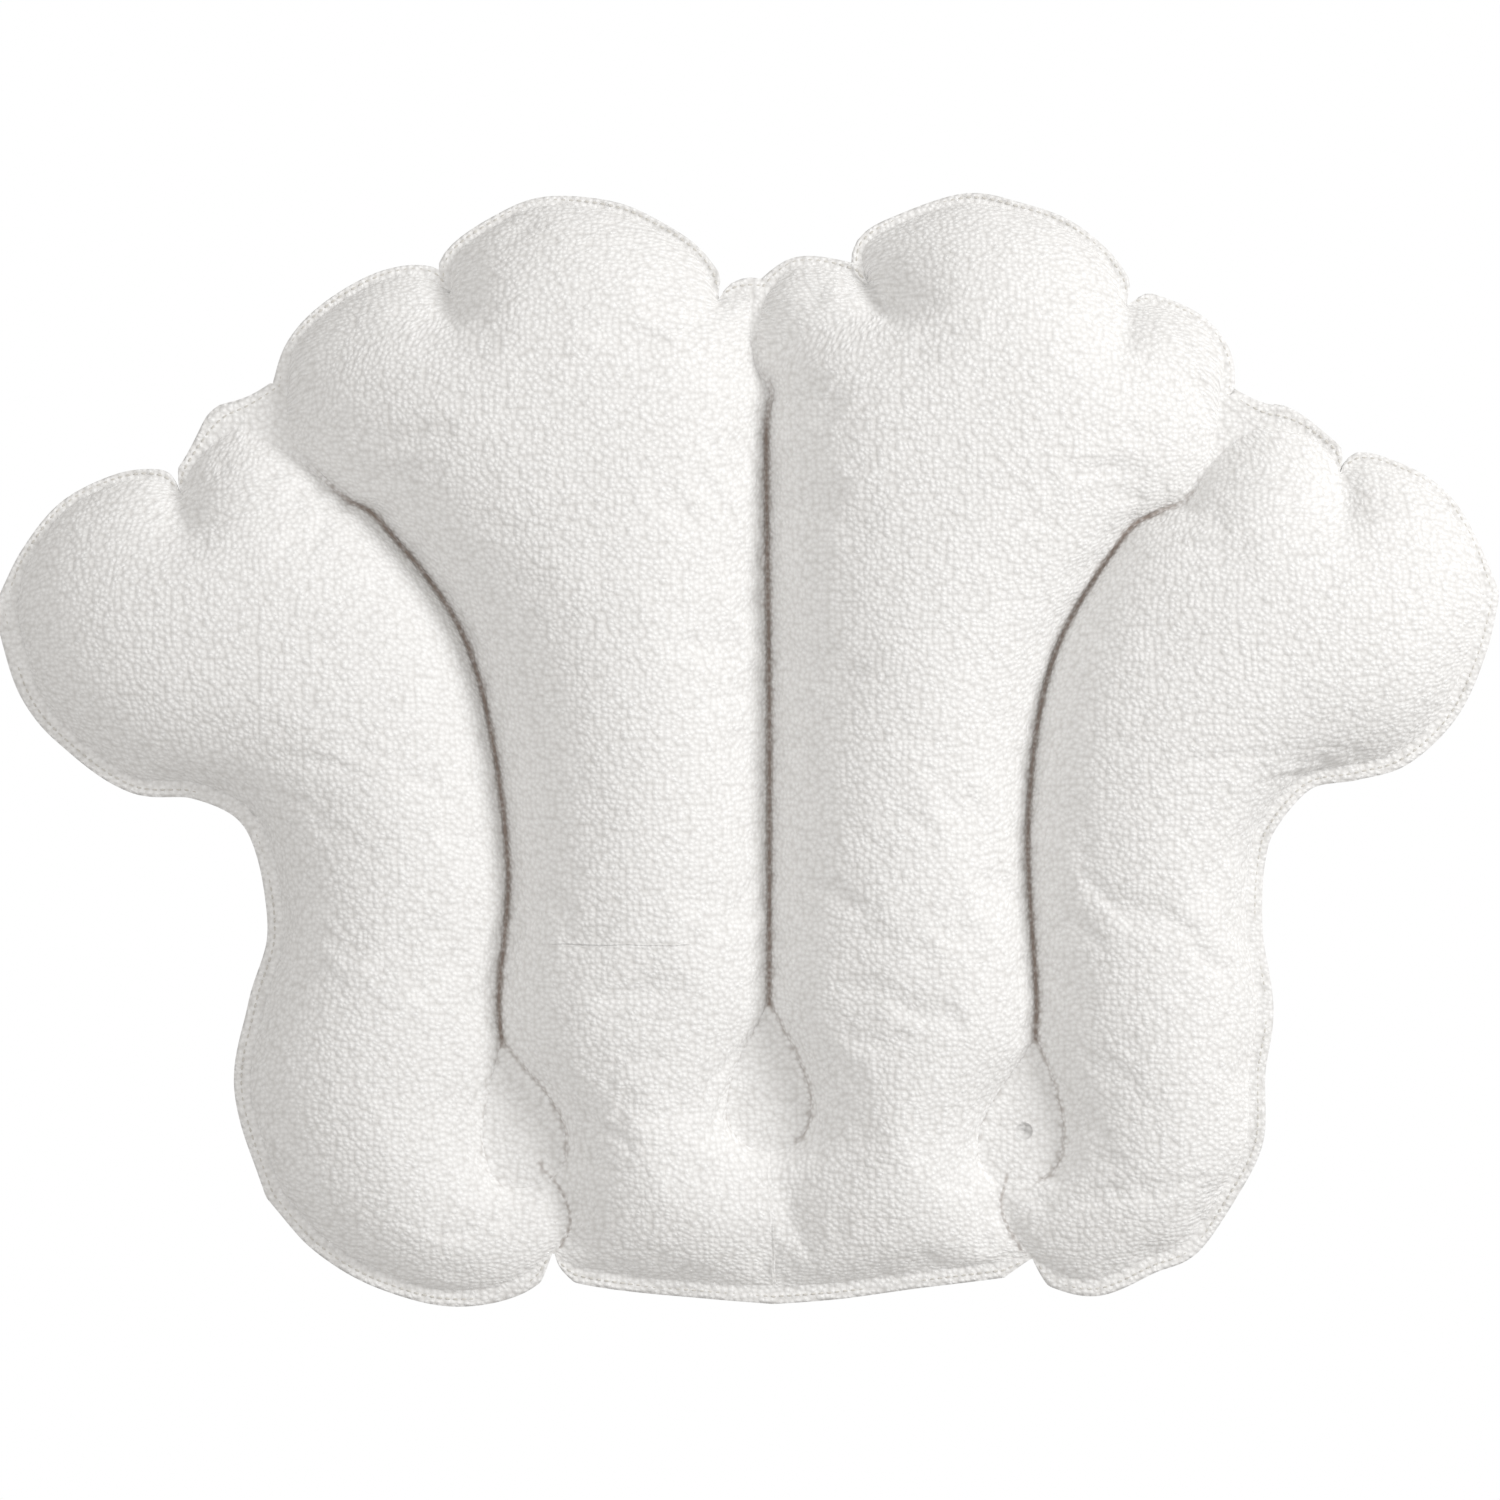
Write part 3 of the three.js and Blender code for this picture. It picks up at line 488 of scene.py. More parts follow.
def swelled(points, plan, grip, cap, pressure, slack):
    """The points after air has swelled the cloth, by cloth simulation on an even part of the net.
    No point moves further than cap metres."""
    up = np.mean([run_of(points[net[:, net.shape[1] // 2]]) for net in plan["grids"]], axis=0)
    rows = spaced(up, SIM_SPACING)
    parts = []
    for net in plan["grids"]:
        over = run_of(points[net[len(net) // 2]])
        parts.append((net, spaced(over, SIM_SPACING), over))
    for net in plan["strips"]:
        parts.append((net, np.arange(0, net.shape[1], SIM_STRIP_STEP), np.arange(net.shape[1])))
    kept = np.unique(np.concatenate([net[np.ix_(rows, columns)].ravel() for net, columns, _ in parts]))
    order = np.zeros(len(points), int)
    order[kept] = np.arange(len(kept))
    faces = [net_quads(order[net[np.ix_(rows, columns)]]) for net, columns, _ in parts]
    trial = new_piece("swelling", points[kept], np.vstack(faces))
    hold = trial.vertex_groups.new(name="weld")
    firm = np.where(plan["free"][kept], np.clip(grip[kept], 0, 1), 1.0)
    for place in np.nonzero(firm > LEAST_HOLD)[0]:
        hold.add([int(place)], float(firm[place]), "REPLACE")
    film = trial.modifiers.new("air", "CLOTH").settings
    film.quality, film.mass = 6, 0.12
    film.tension_stiffness = film.compression_stiffness = 12.0
    film.shear_stiffness, film.bending_stiffness = 5.0, 0.3
    film.use_pressure, film.uniform_pressure_force = True, pressure
    film.shrink_min = film.shrink_max = -slack
    film.vertex_group_mass = "weld"
    film.effector_weights.gravity = 0.0
    for moment in range(1, SIM_FRAMES + 1):
        scene.frame_set(moment)
    after = trial.evaluated_get(bpy.context.evaluated_depsgraph_get()).to_mesh()
    moved = np.array([v.co for v in after.vertices]) - points[kept]
    bpy.data.objects.remove(trial)
    scene.frame_set(1)
    length = np.maximum(np.linalg.norm(moved, axis=1), 1e-9)
    moved *= (cap * np.tanh(length / cap) / length)[:, None]
    spread = np.zeros_like(points)
    for net, columns, over in parts:
        coarse = moved[order[net[np.ix_(rows, columns)]]]
        rising, going = smooth_weights(up[rows], up), smooth_weights(over[columns].astype(float), over)
        spread[net] = np.einsum("jr,rck,ic->jik", rising, coarse, going)
    return points + spread * plan["free"][:, None]


MOST_STRETCH = 8


def laid_flat(points, plan):
    """Where the corners of the net's faces lay on the towelling before air stretched it, in metres."""
    xz = points[:, [0, 2]]
    parts = []

    def unrolled(net, axis):
        """Steps along one way of the net, as long as they are on the swollen cloth."""
        step, plain = np.diff(points[net], axis=axis), np.diff(xz[net], axis=axis)
        longer = np.linalg.norm(step, axis=2) / np.maximum(np.linalg.norm(plain, axis=2), 1e-6)
        return plain * np.minimum(longer, MOST_STRETCH)[..., None]

    for net in plan["grids"]:
        middle = net.shape[1] // 2
        spine = np.cumsum(np.vstack([xz[net[0, middle]], unrolled(net, 0)[:, middle]]), axis=0)
        run = np.cumsum(np.concatenate([np.zeros((len(net), 1, 2)), unrolled(net, 1)], axis=1), axis=1)
        parts.append(net_quads(spine[:, None] + run - run[:, middle : middle + 1]))
    parts += [net_quads(xz[net]) for net in plan["strips"]]
    for inner, outer in zip(plan["rings"][:-1], plan["rings"][1:]):
        around = [xz[outer], np.roll(xz[outer], -1, 0), np.roll(xz[inner], -1, 0), xz[inner]]
        parts.append(np.stack(around, axis=1))
    return np.vstack(parts)


HASH_STEPS, SEED_STEP = np.array([73856093, 19349663, 83492791]), 2654435761
DRAW_GAIN, DRAW_STEP, DRAW_STEPS = 1103515245, 12345, 1024
NUB_PITCH, NUB_HEIGHT, NUB_REACH, NUB_SEED, NUB_FULL_LIFT = 3.0 * MM, 0.5 * MM, 0.9, 7, 12.0


def nubs(points, pitch, seed):
    """Uneven height of the towelling, from 0 to 1, at places in metres."""
    cell = np.floor(points / pitch)
    nearest = np.full(len(points), np.inf)
    for step in np.ndindex(3, 3, 3):
        corner = (cell + np.array(step) - 1).astype(np.int64)
        hashed = (corner * HASH_STEPS).sum(1) ^ (seed * SEED_STEP)
        draws = [((hashed >> shift) * DRAW_GAIN + DRAW_STEP >> 7) % DRAW_STEPS for shift in (0, 3, 6)]
        place = np.stack(draws, axis=1) / DRAW_STEPS
        nearest = np.minimum(nearest, np.linalg.norm(points / pitch - corner - place, axis=1))
    return 1 - np.clip(nearest / NUB_REACH, 0, 1) ** 2


def closed_panel(name, points, plan, step, corners=None, to_wall=False):
    """A panel with a wall of step mm round its edge, and a lid behind its flange and over the air."""
    weld, edge = plan["rings"][0], plan["rings"][-1]
    rim = len(points) + np.arange(len(edge))
    inner = rim + len(edge)
    behind = np.vstack([points[edge], points[weld]]) - np.array([0.0, step * MM, 0.0])
    wall = np.stack([edge, rim, np.roll(rim, -1), np.roll(edge, -1)], axis=1)
    hem = np.stack([rim, inner, np.roll(inner, -1), np.roll(rim, -1)], axis=1)
    loop = [(k, (k + 1) % len(weld)) for k in range(len(weld))]
    outline = [Vector(p) for p in plan["xy"][weld]]
    flat, _, cover, source, _, _ = delaunay_2d_cdt(outline, loop, [], 1, 1e-4)
    crossing = [k for k, found in enumerate(source) if not found]
    place = {k: inner[found[0]] for k, found in enumerate(source) if found}
    place.update({k: inner[-1] + 1 + n for n, k in enumerate(crossing)})
    crossed = [(flat[k][0] * MM, behind[-1, 1], flat[k][1] * MM) for k in crossing]
    faces = [*plan["quads"], *wall, *hem, *([place[v] for v in face[::-1]] for face in cover)]
    if to_wall:
        faces = [face[::-1] for face in faces]
    return new_piece(name, [*points, *behind, *crossed], faces, corners)


front = stood_up(plan["xy"], edge_waved(TERRY_LEVEL + front_rise, plan))
caught = tack_grip(plan["xy"], PUCKERS)
front = swelled(front, plan, caught, cap=6 * MM, pressure=AIR_PRESSURE, slack=0.007)
flat_cloth = laid_flat(front, plan)
uneven = (nubs(front, NUB_PITCH, NUB_SEED) - 0.5) * NUB_HEIGHT * np.clip(lift / NUB_FULL_LIFT, 0, 1)
front += point_normals(front, plan["quads"]) * uneven[:, None]
terry = closed_panel("terry_front", front, plan, -TERRY_THICKNESS, flat_cloth)

# Painted shade: lines where the cloth dips into creases get a brown shade painted into its colour, each with
# the reach of the painted shade and its depth. Seams run over these rows of the plan, and teardrops get more
# painted shade on their right edge, under the flank that turns away from the key light, than on their left.
SEAM_ROWS, TEARDROP_SIDE_ROWS = slice(65, 204, 3), slice(26, 67, 2)
FOLD_SHADE, SEAM_SHADE, RIGHT_SHADE, LEFT_SHADE = (0.9, 0.55), (1.3, 1.0), (1.3, 0.48), (1.2, 0.24)
FOLD_GRIP, CREASE_FADE = 1.0, 0.12
folds = [line_through(line, TACK_STEPS)[::-1] for line, grip, _, _ in PUCKERS if grip > FOLD_GRIP]
creases = [(fold, *FOLD_SHADE) for fold in folds]
for net in plan["strips"]:
    creases.append((plan["xy"][net[SEAM_ROWS, net.shape[1] // 2]], *SEAM_SHADE))
    creases.append((plan["xy"][net[TEARDROP_SIDE_ROWS, -1]][::-1], *RIGHT_SHADE))
    creases.append((plan["xy"][net[TEARDROP_SIDE_ROWS, 0]][::-1], *LEFT_SHADE))
# Painted shade share at each point of the front, kept as a point attribute for the towelling's colour.
painted_crease_shade = np.zeros(len(terry.data.vertices))
for line, reach, depth in creases:
    off, along = near_line(plan["xy"], line)
    shade = depth * np.clip((1 - along) / CREASE_FADE, 0, 1) * np.exp(-((off / reach) ** 2))
    painted_crease_shade[: len(off)] = np.maximum(painted_crease_shade[: len(off)], shade)
terry.data.attributes.new("painted_crease_shade", "FLOAT", "POINT").data.foreach_set("value", painted_crease_shade)


class Pattern:
    """A node's output that takes part in sums. node() adds any other node to the same tree."""

    def __init__(self, tree, socket=None):
        self.tree, self.socket = tree, socket

    def node(self, kind, settings=None, sockets=None, output=0):
        made = self.tree.nodes.new(kind)
        for name, value in (settings or {}).items():
            setattr(made, name, value)
        for name, value in (sockets or {}).items():
            if isinstance(value, Pattern):
                self.tree.links.new(value.socket, made.inputs[name])
            else:
                made.inputs[name].default_value = value
        return Pattern(self.tree, made.outputs[output])

    def math(self, operation, first, second=0.0):
        return self.node("ShaderNodeMath", {"operation": operation}, {0: first, 1: second})

    def __add__(self, other):
        return self.math("ADD", self, other)

    def __sub__(self, other):
        return self.math("SUBTRACT", self, other)

    def __rsub__(self, other):
        return self.math("SUBTRACT", other, self)

    def __mul__(self, other):
        return self.math("MULTIPLY", self, other)

    def __truediv__(self, other):
        return self.math("DIVIDE", self, other)

    __radd__, __rmul__ = __add__, __mul__

    def noise(self, scale, detail, output=0):
        """Cloudy noise over the coordinates that the pattern holds."""
        sockets = {"Vector": self, "Scale": scale, "Detail": detail}
        return self.node("ShaderNodeTexNoise", None, sockets, output)

    def clear(self):
        """The pattern held between 0 and 1."""
        return self.node("ShaderNodeClamp", None, {"Value": self})

    def between(self, low, high):
        """A colour from low to high as the pattern goes from 0 to 1."""
        return self.node("ShaderNodeMix", {"data_type": "RGBA"}, {0: self, 6: low, 7: high}, 2)


def new_finish(name, shader_values):
    """A material, its shader with some values set, and the piece's own coordinates."""
    material = bpy.data.materials.new(name)
    material.use_nodes = True
    shader = material.node_tree.nodes["Principled BSDF"]
    for socket, value in shader_values.items():
        shader.inputs[socket].default_value = value
    place = Pattern(material.node_tree).node("ShaderNodeTexCoord", None, None, "Object")
    return material, shader, place


def feed(shader, socket, pattern):
    pattern.tree.links.new(pattern.socket, shader.inputs[socket])


# Loops stand in rough rows on the cloth, some higher than others. Their colour is painted darker in the gaps
# between them as shade, and it also varies at random with the yarn and clumps. Pitch is in loops per metre.
# A spot is pressed into one teardrop, and a thread is pulled tight across a lobe.
LOOP_PITCH, LOOP_WANDER, PILE_BUMP = (440.0, 520.0, 1.0), (0.0022, 0.0022, 0.0), 0.0004
CURL_HEIGHT, YARN_HEIGHT, CLUMP_HEIGHT = 1.2, 0.35, 0.6
CURL_TONE, YARN_TONE, CLUMP_TONE, TONE_DROP = 0.8, 0.7, 0.2, 0.2
# The pile's colour in the painted shade of the gaps between loops, and its own white on the loop tops.
PILE_SHADE, PILE_LIGHT = (0.68, 0.668, 0.652, 1), (0.97, 0.97, 0.968, 1)
# Painted shade: the brown painted into the creases, how far it spreads, and how much the loop tops keep
# their own colour.
PAINTED_SHADE_BROWN, PAINTED_SHADE_SPREAD, PAINTED_SHADE_LOOPS = (0.31, 0.26, 0.23, 1), 1.2, 0.5
DIMPLE_PLACE, DIMPLE_REACH, DIMPLE_DEPTH = (0.1005, -TERRY_LEVEL * MM, -0.1397), 3.2 * MM, 7.0
THREAD_LEVEL, THREAD_HALF_WIDTH, THREAD_DEPTH = -69.7 * MM, 0.5 * MM, 0.8
THREAD_MIDDLE, THREAD_HALF_LENGTH, THREAD_WANDER = -47.0 * MM, 31.0 * MM, 1.6
towelling, shader, place = new_finish("white towelling", {
    "Roughness": 0.95, "Specular IOR Level": 0.15, "Sheen Weight": 0.2, "Sheen Roughness": 0.6})
cloth = place.node("ShaderNodeUVMap", {"uv_map": "cloth"})
wander = place.noise(90.0, 2.0, "Color")
rows = place.node("ShaderNodeVectorMath", {"operation": "MULTIPLY_ADD"},
                  {0: wander, 1: LOOP_WANDER, 2: cloth})
rows = place.node("ShaderNodeMapping", None, {"Vector": rows, "Scale": LOOP_PITCH})
loop_cell = {"Vector": rows, "Scale": 1.0, "Randomness": 0.8}
loop = place.node("ShaderNodeTexVoronoi", {"voronoi_dimensions": "2D", "feature": "SMOOTH_F1"},
                  {**loop_cell, "Smoothness": 0.45}, "Distance")
chance = place.node("ShaderNodeTexVoronoi", {"voronoi_dimensions": "2D"}, loop_cell, "Color")
chance = place.node("ShaderNodeSeparateColor", None, {"Color": chance})
curl = (1 - loop * 1.25).clear() * (0.7 + chance * 0.45)
yarn = place.noise(1100.0, 2.0)
clump = place.noise(110.0, 3.0)
pile_height = curl * CURL_HEIGHT + yarn * YARN_HEIGHT + clump * CLUMP_HEIGHT
pressed_spot = place.node("ShaderNodeVectorMath", {"operation": "DISTANCE"},
                          {0: place, 1: DIMPLE_PLACE}, "Value")
pile_height = pile_height - (1 - pressed_spot / DIMPLE_REACH).clear() * DIMPLE_DEPTH
across = place.node("ShaderNodeSeparateXYZ", None, {"Vector": place}, "X")
level = place.node("ShaderNodeSeparateXYZ", None, {"Vector": place}, "Z") + clump * THREAD_WANDER * MM
thread = (1 - place.math("ABSOLUTE", level - THREAD_LEVEL) / THREAD_HALF_WIDTH).clear()
thread = thread * (3 - place.math("ABSOLUTE", across - THREAD_MIDDLE) * (3 / THREAD_HALF_LENGTH)).clear()
pile_height = pile_height - thread * THREAD_DEPTH
bumped = place.node("ShaderNodeBump", None, {"Strength": 1.0, "Distance": PILE_BUMP, "Height": pile_height})
# Colour: painted shade in the gaps between loops, with random tone from the yarn and clumps.
tone = (curl * CURL_TONE + yarn * YARN_TONE + clump * CLUMP_TONE - TONE_DROP).clear()
pile_colour = tone.between(PILE_SHADE, PILE_LIGHT)
# Painted shade: the crease lines' share darkens the towelling's colour towards brown.
crease_shade_share = place.node("ShaderNodeAttribute", {"attribute_name": "painted_crease_shade"}, None, "Fac")
painted_shade_amount = (crease_shade_share * PAINTED_SHADE_SPREAD - curl * PAINTED_SHADE_LOOPS).clear()
feed(shader, "Base Color", painted_shade_amount.between(pile_colour, PAINTED_SHADE_BROWN))
feed(shader, "Normal", bumped)
terry.data.materials.append(towelling)
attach(terry, "pillow")
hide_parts("front_panel", "front_liner")

# Back panel: white vinyl sheet, welded to the front round the edge, along the seams and at the teardrops.
# Air swells it less than the front, because it lies against the bath, and it puckers along its welds.
BACK_WELD_LEVEL = 47.1
BACK_DEPTH, BACK_FLAT_REACH = 31.0, 27.0
BACK_CLOSING = 0.9
BACK_CALM_FROM, BACK_CALM_RUN = 0.86, 0.12
PUCKER_DEPTH, PUCKER_SWAY, PUCKER_SWAY_RUN = 1.8, 5, 23
PUCKER_ACROSS, PUCKER_UP, CROSSING_ACROSS, CROSSING_UP = 0.31, 0.27, 0.21, 0.33
VALVE_X, VALVE_Z, VALVE_HOLE = 56.0, -95.0, 8.4
BORE_FROM, BORE_TO = 10, 40
back_plan = pillow_plan(columns=56, strip_columns=6, band_rows=16, teardrop_rows=28, tube_rows=112,
                        flange_rings=3)
back_lift = air_lift(back_plan, [])
back_xy = back_plan["xy"]
back_x, back_z = back_xy.T
sunk = BACK_DEPTH * np.sin(math.pi / 2 * np.minimum(back_lift / BACK_FLAT_REACH, 1))
spoke = back_x * PUCKER_ACROSS + PUCKER_SWAY * np.sin(back_z / PUCKER_SWAY_RUN) + back_z * PUCKER_UP
slack = np.sin(spoke) * np.sin(back_z * CROSSING_UP - back_x * CROSSING_ACROSS)
flank = np.clip(sunk / BACK_DEPTH, 0, 1)
sunk -= PUCKER_DEPTH * (0.5 + 0.5 * slack) * flank * (1 - flank) * 4
back_height = edge_waved(BACK_WELD_LEVEL - sunk, back_plan)
back_skin = stood_up(back_xy, back_height)
held = np.clip((flank - BACK_CALM_FROM) / BACK_CALM_RUN, 0, 1)
back_skin = swelled(back_skin, back_plan, held, cap=4 * MM, pressure=-AIR_PRESSURE, slack=0.03)
back = closed_panel("vinyl_back", back_skin, back_plan, BACK_CLOSING, to_wall=True)


def remade(piece, modifier):
    """The piece with its modifier's result as a plain mesh."""
    shape = piece.evaluated_get(bpy.context.evaluated_depsgraph_get())
    piece.data = bpy.data.meshes.new_from_object(shape)
    piece.modifiers.remove(modifier)


def outward(piece):
    """The piece with all its faces turned to look out."""
    shape = bmesh.new()
    shape.from_mesh(piece.data)
    bmesh.ops.recalc_face_normals(shape, faces=shape.faces)
    shape.to_mesh(piece.data)
    shape.free()
    return piece


def turned(name, profile, x, z, spokes=64, ring=True):
    """A round piece about the wall's own axis. The profile lists radius and height from the wall."""
    angle = np.arange(spokes) * 2 * math.pi / spokes
    points, loops, faces = [], [], []
    for radius, height in profile:
        around = angle if radius else angle[:1]
        loops.append(np.resize(len(points) + np.arange(len(around)), spokes))
        points += [((x + radius * math.cos(a)) * MM, -height * MM, (z + radius * math.sin(a)) * MM)
                   for a in around]
    for low, high in zip(loops, loops[1:] + (loops[:1] if ring else [])):
        for corners in zip(low, np.roll(low, -1), np.roll(high, -1), high):
            corners = list(dict.fromkeys(corners))
            if len(corners) > 2:
                faces.append(corners)
    return outward(new_piece(name, points, faces))


MOST_EASE = 0.45


def eased(profile, radius, ring=True, steps=4):
    """The profile with its corners rounded."""
    p = np.asarray(profile, float)
    out = []
    for k in range(len(p)):
        if not ring and k in (0, len(p) - 1):
            out.append(tuple(p[k]))
            continue
        before, after = p[k - 1] - p[k], p[(k + 1) % len(p)] - p[k]
        back_run, on_run = np.linalg.norm(before), np.linalg.norm(after)
        reach = min(radius, MOST_EASE * back_run, MOST_EASE * on_run)
        a, b = p[k] + before / back_run * reach, p[k] + after / on_run * reach
        for t in np.linspace(0, 1, steps):
            out.append(tuple(a * (1 - t) ** 2 + 2 * p[k] * t * (1 - t) + b * t**2))
    return out


bore_profile = [(0, BORE_FROM), (VALVE_HOLE, BORE_FROM), (VALVE_HOLE, BORE_TO), (0, BORE_TO)]
bore = turned("valve hole", bore_profile, VALVE_X, VALVE_Z, ring=False)
cut = back.modifiers.new("valve hole", "BOOLEAN")
cut.operation, cut.object, cut.solver = "DIFFERENCE", bore, "FAST"
remade(back, cut)
bpy.data.objects.remove(bore)


def white_vinyl(name, grain, wear):
    """Finish of welded or moulded white vinyl: a fine grain and faint cloudy wear."""
    material, shader, place = new_finish(name, {
        "Specular IOR Level": 0.5, "Coat Weight": 0.12, "Coat Roughness": 0.35})
    pores = place.node("ShaderNodeTexVoronoi", None, {"Vector": place, "Scale": grain}, "Distance")
    cloud = place.noise(28.0, 4.0)
    wave = place.noise(130.0, 2.0)
    height = pores * 0.5 + wave * wear
    bumped = place.node("ShaderNodeBump", None, {"Strength": 0.35, "Distance": 0.0006, "Height": height})
    feed(shader, "Base Color", cloud.between((0.80, 0.79, 0.77, 1), (0.90, 0.90, 0.89, 1)))
    feed(shader, "Roughness", 0.34 + cloud * 0.2 + pores * 0.08)
    feed(shader, "Normal", bumped)
    return material


back_vinyl = white_vinyl("soft white vinyl", grain=1500.0, wear=1.4)
back.data.materials.clear()
back.data.materials.append(back_vinyl)
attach(back, "pillow")
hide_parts("back_panel")

# Weld marks: the toothed wheel of the welder leaves a row of short dashes along the middle of the flange,
# on the terry side and on the vinyl side.
DASH_PITCH, DASH_LENGTH, DASH_WIDTH, DASH_HEIGHT = 2.9 * MM, 1.9 * MM, 0.75 * MM, 0.28 * MM
TERRY_DASH_RISE, VINYL_DASH_RISE = 0.02, 0.05
LEAST_FLANGE, FEWEST_POINTS = 2.6, 6


def dash_tree(name, finish):
    """Nodes that lay dashes along a line, flat on a face that looks along the wall's axis."""
    tree = bpy.data.node_groups.new(name, "GeometryNodeTree")
    tree.interface.new_socket("Line", in_out="INPUT", socket_type="NodeSocketGeometry")
    for size in ("Pitch", "Length", "Width", "Height"):
        tree.interface.new_socket(size, in_out="INPUT", socket_type="NodeSocketFloat")
    tree.interface.new_socket("Dashes", in_out="OUTPUT", socket_type="NodeSocketGeometry")
    base = Pattern(tree)

    def given(size):
        return base.node("NodeGroupInput", None, None, size)

    curve = base.node("GeometryNodeMeshToCurve", None, {"Mesh": given("Line")})
    spots = base.node("GeometryNodeResampleCurve", {"mode": "LENGTH"},
                      {"Curve": curve, "Length": given("Pitch")})
    along = base.node("GeometryNodeInputTangent")
    turn = base.node("FunctionNodeAlignRotationToVector", {"axis": "X"}, {"Vector": along})
    flat = base.node("FunctionNodeAlignRotationToVector", {"axis": "Y", "pivot_axis": "X"},
                     {"Rotation": turn, "Vector": (0.0, 1.0, 0.0)})
    ball = base.node("GeometryNodeMeshUVSphere", None, {"Segments": 8, "Rings": 4, "Radius": 0.5})
    size = base.node("ShaderNodeCombineXYZ", None,
                     {"X": given("Length"), "Y": given("Height"), "Z": given("Width")})
    dash = base.node("GeometryNodeTransform", None, {"Geometry": ball, "Scale": size})
    laid = base.node("GeometryNodeInstanceOnPoints", None,
                     {"Points": spots, "Instance": dash, "Rotation": flat})
    real = base.node("GeometryNodeRealizeInstances", None, {"Geometry": laid})
    smooth = base.node("GeometryNodeSetShadeSmooth", None, {"Geometry": real})
    coated = base.node("GeometryNodeSetMaterial", None, {"Geometry": smooth, "Material": finish})
    tree.links.new(coated.socket, tree.nodes.new("NodeGroupOutput").inputs["Dashes"])
    return tree


def dashed(name, lines, tree, sizes):
    """A piece of dashes along lines of places in metres."""
    points, edges = [], []
    for line in lines:
        edges += [(len(points) + k, len(points) + k + 1) for k in range(len(line) - 1)]
        points += [tuple(p) for p in line]
    mesh = bpy.data.meshes.new(name)
    mesh.from_pydata(points, edges, [])
    made = added(name, mesh)
    nodes = made.modifiers.new("dashes", "NODES")
    nodes.node_group = tree
    for item in tree.interface.items_tree:
        if item.name in sizes and item.in_out == "INPUT":
            nodes[item.identifier] = sizes[item.name]
    remade(made, nodes)
    return made


def flange_lines(plan, points, share):
    """Lines along the flange at a share of its width, broken where it is too narrow for a dash."""
    weld, edge = plan["rings"][0], plan["rings"][-1]
    line = points[weld] * (1 - share) + points[edge] * share
    wide = np.linalg.norm(plan["xy"][edge] - plan["xy"][weld], axis=1) > LEAST_FLANGE
    breaks = np.nonzero(~wide)[0]
    runs = np.split(np.roll(line, -breaks[0], axis=0), np.nonzero(~np.roll(wide, -breaks[0]))[0])
    return [run[1:] for run in runs if len(run) > FEWEST_POINTS]


pressed, shader, place = new_finish("pressed weld", {"Roughness": 0.7, "Specular IOR Level": 0.3})
smear = place.noise(900.0, 2.0)
feed(shader, "Base Color", smear.between((0.55, 0.53, 0.49, 1), (0.80, 0.785, 0.75, 1)))
dash_sizes = {"Pitch": DASH_PITCH, "Length": DASH_LENGTH, "Width": DASH_WIDTH, "Height": DASH_HEIGHT}
dashes = dash_tree("weld dashes", pressed)
front_line = front - np.array([0.0, TERRY_DASH_RISE * MM, 0.0])
terry_marks = dashed("terry_weld_marks", flange_lines(plan, front_line, share=0.55), dashes, dash_sizes)
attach(terry_marks, "pillow")

vinyl_dashes = dash_tree("vinyl dashes", back_vinyl)
back_line = stood_up(back_xy, back_height - VINYL_DASH_RISE)
vinyl_lines = flange_lines(back_plan, back_line, share=0.5)
vinyl_marks = dashed("vinyl_weld_marks", vinyl_lines, vinyl_dashes, dash_sizes)
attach(vinyl_marks, "pillow")

# Cup patches: six hats of moulded vinyl, welded by their brims to the back. The crown's hole holds the neck
# of a suction cup, and a ring of welder's teeth runs round each brim.
PATCH_PROFILE = [(3.9, 11.3), (7.9, 11.3), (7.9, 14.6), (13.9, 14.6),
                 (13.9, 16.0), (6.7, 16.0), (6.7, 12.5), (3.9, 12.5)]
PATCH_EASE = 0.7
CUP_PLACES = [(-214, 43), (-70, 115), (77, 115), (218, 48), (-137, -95), (147, -95)]
BRIM_DASH_RADIUS, BRIM_DASH_LEVEL = 11.4, 14.55
patch_vinyl = white_vinyl("moulded white vinyl", grain=900.0, wear=0.4)


def ring_line(x, z, radius, height, steps=96):
    """A closed ring about the wall's own axis, for a row of teeth."""
    angle = np.linspace(0, 2 * math.pi, steps + 1)
    around = np.stack([x + radius * np.cos(angle), z + radius * np.sin(angle)], axis=1)
    return stood_up(around, np.full(steps + 1, height))


for number, (x, z) in enumerate(CUP_PLACES, 1):
    patch = turned(f"patch_{number}", eased(PATCH_PROFILE, PATCH_EASE), x, z)
    patch.data.materials.append(patch_vinyl)
    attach(patch, "pillow")
    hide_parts(f"cup_patch_{number}")
teeth = dash_tree("brim teeth", patch_vinyl)
brims = [ring_line(x, z, BRIM_DASH_RADIUS, BRIM_DASH_LEVEL) for x, z in CUP_PLACES]
tooth_sizes = {"Pitch": 2.0 * MM, "Length": 0.8 * MM, "Width": 2.6 * MM, "Height": 0.4 * MM}
brim_teeth = dashed("patch_weld_marks", brims, teeth, tooth_sizes)
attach(brim_teeth, "pillow")

